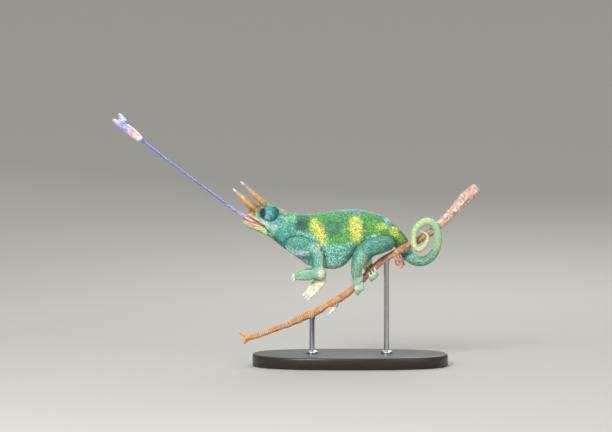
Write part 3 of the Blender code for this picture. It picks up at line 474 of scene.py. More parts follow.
def claw_ends(node):
    """The tip and the root of each claw on a CAD node of toes, read from its tight end ring."""
    points = np.unique(np.round(read(frame["nodes"][node].data, "co", 3) / MM, 3), axis=0)
    gaps = np.linalg.norm(points[:, None] - points[None], axis=2)
    found = []
    for row in gaps:
        ring = points[row < CLAW_SPAN]
        tip = ring.mean(0)
        if len(ring) != CLAW_CORNERS or abs(np.linalg.norm(ring - tip, axis=1) - CLAW_TIP).max() > 0.01:
            continue
        if any(np.linalg.norm(tip - other) < 0.8 for other, _ in found):
            continue
        heading = np.linalg.svd(ring - tip)[2][2]
        toe = points[np.linalg.norm(points - tip, axis=1) < 4.0].mean(0)
        found.append((tip, tip + CLAW_REACH * heading * np.sign(heading @ (toe - tip))))
    return found


def fused(nodes, voxel, swell, claws=()):
    """One closed surface through the named nodes, each grown by the swell so that gaps close.

    The skin is drawn back from each claw to its root.
    """
    made = bmesh.new()
    for name in nodes:
        one = bmesh.new()
        one.from_mesh(frame["nodes"][name].data)
        bmesh.ops.remove_doubles(one, verts=one.verts, dist=1e-6)
        one.normal_update()
        for vertex in one.verts:
            vertex.co += vertex.normal * swell * MM
        for tip, root in claws:
            for vertex in one.verts:
                offset = np.array(vertex.co) / MM - root
                if np.linalg.norm(offset) < CLEARED_BEYOND and offset @ unit(tip - root) > -CLEARED_BEHIND:
                    if np.linalg.norm(np.cross(offset, unit(tip - root))) < CLEARED_ROUND:
                        vertex.co = root * MM
        mesh = bpy.data.meshes.new("part")
        one.to_mesh(mesh)
        one.free()
        made.from_mesh(mesh)
        bpy.data.meshes.remove(mesh)
    mesh = bpy.data.meshes.new("fused")
    made.to_mesh(mesh)
    made.free()
    obj = bpy.data.objects.new("fused", mesh)
    bpy.context.scene.collection.objects.link(obj)
    remesh = obj.modifiers.new("skin over", "REMESH")
    remesh.mode = "VOXEL"
    remesh.voxel_size = voxel * MM
    obj.data = evaluated_mesh(obj)
    return obj


def relax(obj, rounds, weights=None):
    """Smooths an object's mesh, more where the weights are high."""
    modifier = obj.modifiers.new("relax", "SMOOTH")
    modifier.factor = 0.5
    modifier.iterations = rounds
    if weights is not None:
        group = obj.vertex_groups.new(name="relax")
        for level in np.unique(weights):
            group.add(np.flatnonzero(weights == level).tolist(), float(level), "REPLACE")
        modifier.vertex_group = "relax"
    obj.data = evaluated_mesh(obj)
    obj.vertex_groups.clear()


def thinned(obj, most):
    """The object's mesh brought under a number of triangles."""
    triangles = sum(len(face.vertices) - 2 for face in obj.data.polygons)
    if triangles > most:
        modifier = obj.modifiers.new("thin", "DECIMATE")
        modifier.ratio = most / triangles
        obj.data = evaluated_mesh(obj)


def edge_ends(mesh):
    """The first and the second vertex of each edge."""
    edges = np.empty(len(mesh.edges) * 2, np.int32)
    mesh.edges.foreach_get("vertices", edges)
    return edges.reshape(-1, 2).T


def spread_out(mesh, values, rounds):
    """Values of the mesh's vertices blurred along its edges."""
    a, b = edge_ends(mesh)
    count = np.bincount(a, minlength=len(values)) + np.bincount(b, minlength=len(values))
    values = np.array(values, float)
    for _ in range(rounds):
        for k in range(values.shape[1]):
            total = np.bincount(a, values[b, k], len(values)) + np.bincount(b, values[a, k], len(values))
            values[:, k] = 0.5 * values[:, k] + 0.5 * total / np.maximum(count, 1)
    return values


class Body:
    """What the painter and the sculptor know of each point of the skin."""

    def __init__(self, mesh):
        self.points = read(mesh, "co", 3) / MM
        self.normals = read(mesh, "normal", 3)
        self.owner = np.array(FLESH)[nearest_nodes(mesh, FLESH)]
        offset = self.points - HEAD_MIDDLE
        self.ahead, self.up = offset @ FORWARD, offset @ CROWNWARD
        self.out = abs(offset[:, 1])

    def part(self, *starts):
        """Which points lie on nodes whose names start so."""
        return np.array([name.startswith(starts) for name in self.owner])


def lip_heights(ahead):
    """Heights of the upper and the lower jaw's edge in the head's frame."""
    upper = np.interp(ahead, (-5.2, -0.3, 5.0, 13.4, 20.0), (-7.4, -5.2, -4.9, -4.5, -4.3))
    lower = np.interp(ahead, (-5.2, -0.3, 4.9, 10.0, 16.0), (-7.8, -5.7, -6.8, -7.8, -9.3))
    return upper, lower


def gape_of(body):
    """How far inside the mouth each point is, from 0 on the lips' outside to 1."""
    upper, lower = lip_heights(body.ahead)
    between = step(body.up, lower - 0.9, lower - 0.1) * (1 - step(body.up, upper - 0.1, upper + 0.9))
    facing = np.where(body.up > (upper + lower) / 2, -1, 1) * (body.normals @ CROWNWARD)
    inside = between * step(facing, 0.35, 0.8) * (body.ahead > -6.0)
    return np.where(body.part("head", "lower_jaw"), inside, 0.0)


def turret_turns(body):
    """For each point, the angle from the gaze and the turn round it, on its side's turret."""
    away, round_it = np.full(len(body.points), 9.0), np.zeros(len(body.points))
    for side in (LEFT, RIGHT):
        gaze = head_direction(*GAZE, side)
        top = unit(CROWNWARD - (CROWNWARD @ gaze) * gaze)
        across = np.cross(gaze, top)
        offset = body.points - in_head(*TURRET, side)
        length = np.linalg.norm(offset, axis=1)
        here = (body.points[:, 1] * side > 0) & (length < TURRET_RADIUS + 2.5)
        angle = np.arccos(np.clip(offset @ gaze / np.maximum(length, 1e-6), -1, 1))
        away[here] = angle[here]
        round_it[here] = np.arctan2(offset @ across, offset @ top)[here]
    return away, round_it


def horn_radius(place, wide, middle):
    """A horn's radius at a share of its length."""
    return np.interp(place, (0, 0.5, 0.93, 1), (wide, middle, 0.7, 0.12))


def at_horns(body):
    """For each point of the head: how far up the nearest horn it is, and how far off its axis.

    The third value is the horn's radius there, and the fourth the vector from the axis.
    """
    along, off = np.full(len(body.points), -99.0), np.full(len(body.points), 99.0)
    thick, arm = np.ones(len(body.points)), np.zeros_like(body.points)
    for root, tip, wide, middle, side in HORNS.values():
        start, end = in_head(*root, side), in_head(*tip, side)
        axis = unit(end - start)
        offset = body.points - start
        rise = offset @ axis
        across = offset - rise[:, None] * axis
        reach = np.linalg.norm(across, axis=1)
        near = body.part("head") & (reach < wide + 2.6) & (rise > -3.5) & (reach < off)
        along[near], off[near], arm[near] = rise[near], reach[near], across[near]
        thick[near] = horn_radius(rise / np.linalg.norm(end - start), wide, middle)[near]
    return along, off, thick, arm


def fold_field(body, mesh):
    """How close each point is to a fold between two groups of parts, from 0 to about 1."""
    group = np.zeros(len(body.points), int)
    for k, starts in enumerate(FOLD_GROUPS):
        group[body.part(*starts)] = 2 * k + 1
    group[np.array([name.endswith("inner_toes") for name in body.owner])] += 1
    a, b = edge_ends(mesh)
    split = group[a] != group[b]
    field = np.zeros((len(body.points), 1))
    field[a[split]] = field[b[split]] = 1.0
    return np.clip(2.2 * spread_out(mesh, field, 5)[:, 0], 0, 1)


def sculpt(body, folds):
    """How far each point moves, in millimetres, for folds, creases, ribs and the horns' roots."""
    moved = 0.08 * mottle(body.points, 9.0, 3) - 0.34 * folds
    lids = body.part("eyelid")
    away, round_it = turret_turns(body)
    moved += np.where(lids, 0.11 * np.cos(away * 15) * step(away, 0.45, 0.7), 0)
    moved += np.where(lids, 0.08 * np.cos(round_it * 8 + 1.2 * np.sin(away * 5)) * step(away, 0.35, 0.6), 0)
    x, z = body.points[:, 0], body.points[:, 2]
    ribs = body.part("torso") * np.exp(-(((z - 94) / 14) ** 2))
    moved += 0.12 * ribs * np.cos((x + 0.25 * (z - 94)) * 2 * math.pi / 6.5)
    throat = body.part("neck", "lower_jaw") * step(-body.up, 5, 11)
    moved += 0.16 * throat * np.cos(body.ahead * 2 * math.pi / 3.1)
    along, off, thick, arm = at_horns(body)
    wanted = np.minimum(off, thick + np.interp(along, (0.5, 2.5), (0.15, -0.45)))
    drawn = step(along, -2.2, 1.4) * (wanted / np.maximum(off, 1e-6) - 1)
    return moved[:, None] * body.normals + drawn[:, None] * arm


def blend(base, share, colour):
    """Colours moved towards another by a share each."""
    return base + np.clip(share, 0, 1)[:, None] * (paint_of(colour) - base)


def head_colours(body, base):
    """The head: teal temples, pale speckled cheeks, a cream rim, a tan snout and yellow lips."""
    ahead, up, out, points = body.ahead, body.up, body.out, body.points
    head, jaw, lid = body.part("head"), body.part("lower_jaw"), body.part("eyelid")
    base[head | lid | jaw] = paint_of("#68cdaa")
    base = blend(base, head * step(-up, 0.0, 4.0), "#8ae0bc")
    base = blend(base, head * step(-up, 4.5, 8.5) * step(3 - ahead, 0, 5), "#a0d284")
    border, luck = plates_where(head | lid | jaw, points, 2.0, 17)
    base = blend(base, 0.8 * head * step(luck, 0.52, 0.60), "#c8f6e6")
    base = blend(base, 0.6 * head * step(luck, 0.22, 0.16), "#35a8b8")
    base = blend(base, 0.8 * head * step(up, 7.0, 9.0) * step(-ahead, 0, 3), "#4fb8a4")
    base = blend(base, head * step(up, 9.2, 10.4) * step(out, 2.2, 3.6), "#c6cf9c")
    spots = head * (abs(up - 9.3) < 0.8) * step(-ahead, 6.5, 7.5) * step(mottle(points, 1.4, 16), 0.0, 0.5)
    base = blend(base, 0.8 * spots, "#7d4630")
    base = blend(base, 0.5 * head * step(border, 0.35, 0.1), "#1b5f74")
    brow = head * step(ahead, 7.2, 9.4) * step(up, -1.0, 2.0)
    base = blend(base, 0.85 * brow, "#a8874e")
    base = blend(base, 0.8 * head * step(ahead, 10.0, 11.8), "#ad8a52")
    base = blend(base, 0.7 * head * step(ahead, 9.5, 12) * step(luck, 0.5, 0.6), "#dcc08a")
    base = blend(base, 0.75 * head * step(ahead, 9.0, 11) * step(border, 0.5, 0.2), "#5a3c1c")
    nostril = np.linalg.norm(np.column_stack([ahead - 12.6, up - 0.1]), axis=1)
    base = blend(base, 0.9 * head * (1 - step(nostril, 1.5, 2.3)), "#b5702f")
    base = blend(base, head * (1 - step(nostril, 0.5, 1.0)) * step(out, 2.0, 3.0), "#2b1a10")
    lip = head * step(-up, 2.6, 3.6) * step(ahead, -1.0, 3.0)
    base = blend(base, 0.9 * lip, "#d3cc7c")
    base = blend(base, jaw * 1.0, "#d5cc86")
    base = blend(base, 0.6 * jaw * step(luck, 0.66, 0.72), "#a58aa6")
    base = blend(base, 0.5 * jaw * step(luck, 0.2, 0.14), "#c8963e")
    base = blend(base, jaw * step(-up, 10.8, 12.0), "#9edbb0")
    base = blend(base, jaw * step(1.0 - ahead, 0, 3), "#b4e49a")
    away, round_it = turret_turns(body)
    streak = step(np.cos(round_it * 7 + 2.0 * np.sin(away * 5)), 0.3, 0.9)
    base = blend(base, lid * 1.0, "#58b4b4")
    base = blend(base, 0.85 * lid * streak * step(away, 0.5, 0.8), "#136673")
    # Painted highlights: pale cyan patches on the eye turret.
    base = blend(base, 0.7 * lid * step(mottle(points, 1.8, 14), 0.25, 0.8), "#96d8d0")
    # Painted shade: the top of each eye turret and the crease round its foot are darkened.
    base = blend(base, 0.8 * lid * step(body.normals @ CROWNWARD, 0.3, 0.9), "#1d7480")
    base = blend(base, 0.8 * lid * step(away, 1.3, 1.6), "#1d7480")
    # Painted shade: the lid goes near black round the eye's opening.
    base = blend(base, lid * (1 - step(away, 0.50, 0.66)), "#0c2b2c")
    # Painted shade: a dark line where the lips meet behind the gape.
    corner = (head | jaw) * step(0.8 - ahead, 0, 1) * step(ahead, -7.4, -6.8)
    base = blend(base, 0.9 * corner * step(abs(up - np.mean(lip_heights(ahead), 0)), 0.8, 0.4), "#12302e")
    inside = gape_of(body)
    # Painted shade: the back of the mouth darkens to maroon.
    painted_mouth_shade = inside * step(4.5 - ahead, 0, 4)
    return blend(blend(base, inside, "#d98d97"), painted_mouth_shade, "#5b2530")


def trunk_colours(body, base):
    """The neck and trunk: green flanks with two yellow bands, over a teal belly."""
    points, up = body.points, body.up
    x, z = points[:, 0], points[:, 2]
    neck, trunk = body.part("neck"), body.part("neck", "torso", "tail_1")
    base[trunk] = paint_of("#50ae46")
    wander = 2.2 * mottle(points, 7.0, 21)
    base = blend(base, 0.55 * trunk * step(mottle(points, 3.4, 22), 0, 0.8), "#84c452")
    base = blend(base, 0.45 * trunk * step(mottle(points, 4.6, 23), 0.2, 0.9), "#2a8452")
    border, luck = plates_where(trunk, points, 2.6, 27)
    base = blend(base, 0.3 * trunk * step(luck, 0.6, 0.7), "#8cbe5a")
    base = blend(base, 0.3 * trunk * step(luck, 0.3, 0.2), "#237c46")
    net = 0.35 * trunk * step(border, 0.5, 0.1)
    belly_line = np.interp(x, (-50, -36, -24, -10, 10, 20, 34), (112, 104, 95.5, 93.5, 94, 97, 93))
    base = blend(base, trunk * step(belly_line - z + wander, -2.5, 2.5), "#86d4be")
    cloud = step(mottle(points, 2.6, 24), 0.1, 0.7)
    base = blend(base, 0.5 * trunk * step(belly_line - z, 2, 5) * cloud, "#55b3a2")
    base = blend(base, 0.85 * trunk * step(belly_line - z, 8, 16), "#b4eada")
    ridge = np.interp(x, (-44, -21, -2, 10, 26, 38), (116.7, 116.7, 119.3, 118.6, 114.2, 104.5))
    base = blend(base, 0.75 * trunk * step(z - ridge + 3.0 + 0.4 * wander, -0.8, 1.6), "#6bab90")
    base = blend(base, trunk * 0.8 * step(x, 14, 24) * step(z - ridge + 9.0 + wander, -2.0, 3.0), "#4c9c78")
    base = blend(base, 0.95 * neck * step(-x, 38, 45) * step(114 - z, -3, 3), "#6ccaaa")
    border, luck = plates_where(neck, points, 2.8, 25)
    base = blend(base, 0.65 * neck * step(luck, 0.35, 0.25) * step(-x, 36, 42), "#33989c")
    base = blend(base, 0.60 * neck * step(luck, 0.62, 0.72) * step(-x, 38, 44), "#b0e6ca")
    base = blend(base, 0.5 * neck * step(border, 0.4, 0.1) * step(-x, 36, 42), "#1f6470")
    base = blend(base, 0.8 * neck * step(-up, 7, 12), "#a6e6c0")
    gular = neck * (abs(points[:, 1]) < 1.8) * step(-up, 9, 11)
    base = blend(base, 0.9 * gular * step(mottle(points, 4.0, 26), -0.5, 0.2), "#dfe6bc")
    base = blend(base, neck * step(-x, 24, 32) * step(104 - z + wander, -1.0, 2.0), "#50a59a")
    # The marks from the table; those on the shoulder, nape, throat and groin are painted shade.
    for mark in MARKS:
        turn = math.radians(mark.lean)
        along = (z - mark.z) * math.cos(turn) - (x - mark.x) * math.sin(turn)
        across = (z - mark.z) * math.sin(turn) + (x - mark.x) * math.cos(turn)
        reach = ((abs(along) / mark.long) ** 3 + (abs(across) / mark.wide) ** 3) ** (1 / 3)
        reach += 0.10 * mottle(points, 2.4, 31)
        base = blend(base, mark.strength * trunk * (1 - step(reach, 0.80, 1.15)), mark.colour)
    return blend(base, net, "#1c5a4e")


def limb_colours(body, base):
    """Teal limbs, paler behind and below, with cream soles."""
    points, normals = body.points, body.normals
    inward = -normals[:, 1] * np.sign(points[:, 1] - 1.5)
    arm, fore = body.part("upper_arm"), body.part("forearm")
    hand, thigh, shank, foot = (body.part(name) for name in ("hand", "thigh", "shank", "foot"))
    sole = np.array([name.endswith("inner_toes") for name in body.owner])
    base[arm] = paint_of("#62a694")
    base = blend(base, 0.6 * arm * step(mottle(points, 2.0, 42), 0.1, 0.7), "#3a7e76")
    base = blend(base, arm * step(inward, 0.0, 0.7), "#9cc0b4")
    base = blend(base, arm * step(-normals[:, 2], 0.1, 0.6), "#cfeaf0")
    base[fore] = paint_of("#78c6b0")
    base = blend(base, fore * step(-normals[:, 0], 0.2, 0.8), "#369886")
    base = blend(base, fore * step(normals[:, 0], 0.1, 0.8), "#c0e0ce")
    elbow = np.exp(-(((points[:, 0] + 24.5) / 3.2) ** 2) - ((points[:, 2] - 90.0) / 3.0) ** 2)
    base = blend(base, (fore | arm) * elbow, "#cfc9b2")
    graze = np.hypot(points[:, 0] + 22.4, (points[:, 2] - 89.0) / 1.6) < 0.9
    graze = (fore | arm) * graze * (points[:, 1] < 0)
    base = blend(base, graze * 0.9, "#3c2440")
    base[hand] = paint_of("#84b896")
    base = blend(base, hand * step(normals[:, 2], 0.3, 0.9), "#c8d2b2")
    base = blend(base, hand * step(points[:, 0], -27.0, -22.0), "#dce8d2")
    base[thigh] = paint_of("#56998a")
    base = blend(base, 0.6 * thigh * step(mottle(points, 3.0, 41), 0.1, 0.8), "#7db3a2")
    base = blend(base, 0.5 * thigh * step(mottle(points, 4.0, 44), 0.2, 0.9), "#397e76")
    base = blend(base, thigh * step(inward, 0.1, 0.8), "#7eb39a")
    base[shank] = paint_of("#78bea4")
    base = blend(base, shank * step(-normals[:, 0], 0.2, 0.8), "#4a9a84")
    base = blend(base, shank * step(normals[:, 0], 0.1, 0.8), "#9ccab0")
    base = blend(base, 0.6 * shank * step(84.0 - points[:, 2] + points[:, 0], 0.0, 16.0), "#b0d4b8")
    base[foot] = paint_of("#bcdcc0")
    base = blend(base, foot * step(points[:, 2] - points[:, 0] * 0.9, 57.0, 70.0), "#7cc0a2")
    base[sole] = paint_of("#eeead0")
    base = blend(base, 0.6 * sole * step(mottle(points, 3.0, 43), 0.2, 0.8), "#c2d0a0")
    return base


def tail_colours(body, base):
    """A mint tail that pales to lime cream in the coil."""
    stretch = {"tail_2": "#84b89a", "tail_3": "#a2c69a", "tail_4": "#bcd296", "tail_5": "#ccd8a4"}
    for name, colour in stretch.items():
        base[body.part(name)] = paint_of(colour)
    coil = body.part("tail_3", "tail_4", "tail_5")
    spoke = body.points - np.array([60.0, -6.0, 98.0])
    inner = -(spoke * body.normals).sum(1) / np.linalg.norm(spoke, axis=1)
    base = blend(base, 0.8 * coil * step(inner, 0.3, 0.9), "#e6ecd6")
    bars = np.cos(np.arctan2(spoke[:, 2], spoke[:, 0]) * 34)
    base = blend(base, 0.35 * coil * step(bars, 0.2, 0.9), "#86b888")
    return base


def skin_colours(body, mesh, folds):
    """The colour of each point of the skin, with the parts' borders blurred and painted shade in the folds.
    """
    base = np.tile(paint_of("#60bc9c"), (len(body.points), 1))
    base = tail_colours(body, limb_colours(body, base))
    base = trunk_colours(body, base)
    base = head_colours(body, base)
    # Painted shade: the folds between parts are darkened.
    return spread_out(mesh, base, 3) * (1 - 0.55 * folds)[:, None]


def contrast_of(body, mesh):
    """How much single scales differ in tone: most on the belly, least on the bands and the feet."""
    x, z = body.points[:, 0], body.points[:, 2]
    share = np.full(len(body.points), 0.8)
    share[body.part("torso", "neck") & (z > 95)] = 0.65
    share[body.part("thigh", "shank")] = 0.5
    share[body.part("head", "lower_jaw")] = 0.45
    share[body.part("eyelid")] = 0.3
    share[body.part("tail_3", "tail_4", "tail_5", "hand", "foot")] = 0.15
    return spread_out(mesh, share[:, None], 4)[:, 0]


def keratin_scales():
    """Keratin scales of a chameleon: satin, each with its own tone, with painted shade darkening each towards
    its rim where they meet.
    """
    material, tree, shader = blank_finish("keratin_scales")
    tint = add(tree, "ShaderNodeAttribute", attribute_name="tint")
    luck = add(tree, "ShaderNodeAttribute", attribute_name="luck")
    crown = add(tree, "ShaderNodeAttribute", attribute_name="crown")
    speck = add(tree, "ShaderNodeAttribute", attribute_name="speck")
    tone = add(tree, "ShaderNodeMapRange", {"Value": luck.outputs["Fac"], "To Min": 0.74, "To Max": 1.18})
    # Painted shade: each scale darkens towards its rim, where it meets the skin and its neighbours.
    edge = add(tree, "ShaderNodeMapRange", {"Value": crown.outputs["Fac"], "From Max": 0.55, "To Min": 0.42})
    shade = add(tree, "ShaderNodeMath", {0: tone.outputs[0], 1: edge.outputs[0]}, operation="MULTIPLY")
    toned = {0: tint.outputs["Color"], 3: shade.outputs[0]}
    scaled = add(tree, "ShaderNodeVectorMath", toned, operation="SCALE")
    second = add(tree, "ShaderNodeMath", {0: luck.outputs["Fac"], 1: 37.7}, operation="MULTIPLY")
    second = add(tree, "ShaderNodeMath", {0: second.outputs[0]}, operation="FRACT")
    luckiest = {"Value": second.outputs[0], "From Min": 0.86, "From Max": 0.92, "To Max": 0.5}
    unluckiest = {"Value": second.outputs[0], "From Min": 0.16, "From Max": 0.10, "To Max": 0.7}
    pale = add(tree, "ShaderNodeMapRange", luckiest)
    dark = add(tree, "ShaderNodeMapRange", unluckiest)
    pale = add(tree, "ShaderNodeMath", {0: pale.outputs[0], 1: speck.outputs["Fac"]}, operation="MULTIPLY")
    dark = add(tree, "ShaderNodeMath", {0: dark.outputs[0], 1: speck.outputs["Fac"]}, operation="MULTIPLY")
    bright = add(tree, "ShaderNodeVectorMath", {0: scaled.outputs[0], 3: 2.0}, operation="SCALE")
    brightest = {0: bright.outputs[0], 1: (0.75, 0.88, 0.78)}
    bright = add(tree, "ShaderNodeVectorMath", brightest, operation="MINIMUM")
    light = add(
        tree,
        "ShaderNodeMix",
        {0: pale.outputs[0], 6: scaled.outputs[0], 7: bright.outputs[0]},
        data_type="RGBA",
    )
    full = add(
        tree,
        "ShaderNodeMix",
        {0: dark.outputs[0], 6: light.outputs[2], 7: linear("#143c38")},
        data_type="RGBA",
    )
    tree.links.new(full.outputs[2], shader.inputs["Base Color"])
    shader.inputs["Roughness"].default_value = 0.44
    shader.inputs["Specular IOR Level"].default_value = 0.4
    return material


def soft_skin():
    """Soft skin between the scales and in the mouth: darkened between the scales as painted shade, and wet in
    the mouth.
    """
    material, tree, shader = blank_finish("soft_skin")
    tint = add(tree, "ShaderNodeAttribute", attribute_name="tint")
    bare = add(tree, "ShaderNodeAttribute", attribute_name="bare")
    wet = add(tree, "ShaderNodeAttribute", attribute_name="wet")
    place = add(tree, "ShaderNodeTexCoord")
    # Painted shade: skin under the coat is darkened, and skin bare of scales keeps its colour.
    depth = add(tree, "ShaderNodeMapRange", {"Value": bare.outputs["Fac"], "To Min": 0.36})
    toned = {0: tint.outputs["Color"], 3: depth.outputs[0]}
    colour = add(tree, "ShaderNodeVectorMath", toned, operation="SCALE")
    tree.links.new(colour.outputs[0], shader.inputs["Base Color"])
    rough = add(tree, "ShaderNodeMapRange", {"Value": wet.outputs["Fac"], "To Min": 0.55, "To Max": 0.22})
    tree.links.new(rough.outputs[0], shader.inputs["Roughness"])
    folds = {"Vector": place.outputs["Object"], "Scale": SKIN_FOLDS, "Detail": 2.0}
    grain = add(tree, "ShaderNodeTexNoise", folds)
    bump = add(tree, "ShaderNodeBump", {"Height": grain.outputs[0], "Distance": 0.00012, "Strength": 0.5})
    tree.links.new(bump.outputs[0], shader.inputs["Normal"])
    return material


def coat_number(body):
    """The number of the coat piece that each point of the skin belongs to."""
    number = np.zeros(len(body.points), int)
    for k, (name, (starts, _)) in enumerate(COATS.items()):
        here = body.part(*starts)
        if name.endswith("right"):
            here &= body.points[:, 1] > 0
        number[here] = k
    return number


def make_skin(settings):
    """The animal's one skin, with its colours, its unwrap and where its scales grow."""
    claws = [claw for name in FLESH if name.startswith(("hand", "foot")) for claw in claw_ends(name)]
    obj = fused(FLESH, settings.voxel / MM, settings.swell / MM, claws)
    owner = np.array(FLESH)[nearest_nodes(obj.data, FLESH)]
    soft = {"torso": 1.0, "neck": 1.0, "tail": 0.6, "thigh": 0.8, "shank": 0.6, "upper": 0.5, "forearm": 0.6}
    soft.update(head=0.2, eyelid=0.25, lower=0.12, hand=0.2, foot=0.5)
    weights = np.array([soft[name.split("_")[0]] for name in owner])
    weights[np.array([name.endswith("toes") for name in owner])] = 0.12
    weights[owner == "tail_5"] = 0.05
    relax(obj, 40, weights)
    relax(obj, 4)
    thinned(obj, settings.triangles)
    mesh = obj.data
    body = Body(mesh)
    folds = fold_field(body, mesh)
    depth = (settings.swell + settings.coat_depth) / MM
    moved = body.points + sculpt(body, folds) - depth * body.normals
    mesh.vertices.foreach_set("co", (moved * MM).astype(np.float32).ravel())
    mesh.update()
    body = Body(mesh)
    inside = gape_of(body)
    away, _ = turret_turns(body)
    hole = body.part("eyelid") * (1 - step(away, 0.26, 0.30))
    bare = np.maximum(inside, hole)
    rise, off, thick, _ = at_horns(body)
    under_horn = (rise > 1.0) & (off < thick + 0.3)
    colours = skin_colours(body, mesh, folds)
    write(mesh, "tint", "FLOAT_COLOR", np.column_stack([colours, np.ones(len(colours))]))
    pale = body.part("hand", "foot", "tail_3", "tail_4", "tail_5").astype(float)
    write(mesh, "bare", "FLOAT", np.maximum(step(bare, 0.3, 0.6), 0.5 * pale))
    write(mesh, "wet", "FLOAT", inside)
    write(mesh, "cover", "FLOAT", ((bare < 0.35) & ~under_horn).astype(float))
    write(mesh, "speck", "FLOAT", contrast_of(body, mesh))
    write(mesh, "coat", "INT", coat_number(body))
    write(mesh, "knobs", "INT", body.part("torso", "neck", "upper_arm", "thigh"))
    bpy.context.view_layer.objects.active = obj
    obj.select_set(True)
    bpy.ops.object.mode_set(mode="EDIT")
    bpy.ops.mesh.select_all(action="SELECT")
    bpy.ops.uv.smart_project(angle_limit=1.15, island_margin=0.001)
    bpy.ops.object.mode_set(mode="OBJECT")
    mesh.uv_layers[0].name = "OFBake"
    mesh.shade_smooth()
    bpy.data.objects.remove(obj)
    return piece("skin", mesh, soft_skin(), FLESH)


def group_input(tree, name, kind, default=None):
    """A named input of a geometry tree."""
    socket = tree.interface.new_socket(name=name, in_out="INPUT", socket_type=kind)
    if default is not None:
        socket.default_value = default
    return socket.identifier


def dome(tree, height, sunk, sides):
    """One low rounded scale of unit radius on the tree, with its place on the unwrap."""
    cone = add(
        tree,
        "GeometryNodeMeshCone",
        {"Vertices": sides, "Side Segments": 2, "Radius Bottom": 1.0, "Radius Top": 0.0, "Depth": 1.0},
        fill_type="NONE",
    )
    where = add(tree, "GeometryNodeInputPosition")
    parts = add(tree, "ShaderNodeSeparateXYZ", {0: where.outputs[0]})
    flat = add(tree, "ShaderNodeCombineXYZ", {0: parts.outputs[0], 1: parts.outputs[1]})
    reach = add(tree, "ShaderNodeVectorMath", {0: flat.outputs[0]}, operation="LENGTH")
    square = add(tree, "ShaderNodeMath", {0: reach.outputs["Value"], 1: 2.0}, operation="POWER")
    crown = add(tree, "ShaderNodeMath", {0: 1.0, 1: square.outputs[0]}, operation="SUBTRACT")
    raised = add(tree, "ShaderNodeMath", {0: crown.outputs[0], 1: height}, operation="MULTIPLY")
    level = add(tree, "ShaderNodeMath", {0: raised.outputs[0], 1: sunk}, operation="SUBTRACT")
    shape = add(tree, "ShaderNodeCombineXYZ", {0: parts.outputs[0], 1: parts.outputs[1], 2: level.outputs[0]})
    patch = add(tree, "ShaderNodeVectorMath", {0: flat.outputs[0], 3: BAKE_PATCH / 2}, operation="SCALE")
    made = add(
        tree,
        "GeometryNodeStoreNamedAttribute",
        {"Geometry": cone.outputs[0], "Name": "crown", "Value": crown.outputs[0]},
        data_type="FLOAT",
    )
    made = add(
        tree,
        "GeometryNodeStoreNamedAttribute",
        {"Geometry": made.outputs[0], "Name": "patch", "Value": patch.outputs[0]},
        data_type="FLOAT_VECTOR",
    )
    return add(tree, "GeometryNodeSetPosition", {"Geometry": made.outputs[0], "Position": shape.outputs[0]})


def mapped_and_finished(tree, placed, finish, root, spent):
    """Makes the tree's scales real, lays each on its root's place of the unwrap, and ends the tree."""
    real = add(tree, "GeometryNodeRealizeInstances", {"Geometry": placed})
    root = add(tree, "GeometryNodeInputNamedAttribute", {"Name": root}, data_type="FLOAT_VECTOR")
    patch = add(tree, "GeometryNodeInputNamedAttribute", {"Name": "patch"}, data_type="FLOAT_VECTOR")
    both = add(tree, "ShaderNodeVectorMath", {0: root.outputs["Attribute"], 1: patch.outputs["Attribute"]})
    done = add(
        tree,
        "GeometryNodeStoreNamedAttribute",
        {"Geometry": real.outputs[0], "Name": "OFBake", "Value": both.outputs[0]},
        data_type="FLOAT2",
        domain="CORNER",
    )
    for name in ("patch", *spent):
        done = add(tree, "GeometryNodeRemoveAttribute", {"Geometry": done.outputs[0], "Name": name})
    smooth = add(tree, "GeometryNodeSetShadeSmooth", {"Geometry": done.outputs[0]})
    last = add(tree, "GeometryNodeSetMaterial", {"Geometry": smooth.outputs[0], "Material": finish})
    add(tree, "NodeGroupOutput", {0: last.outputs[0]})


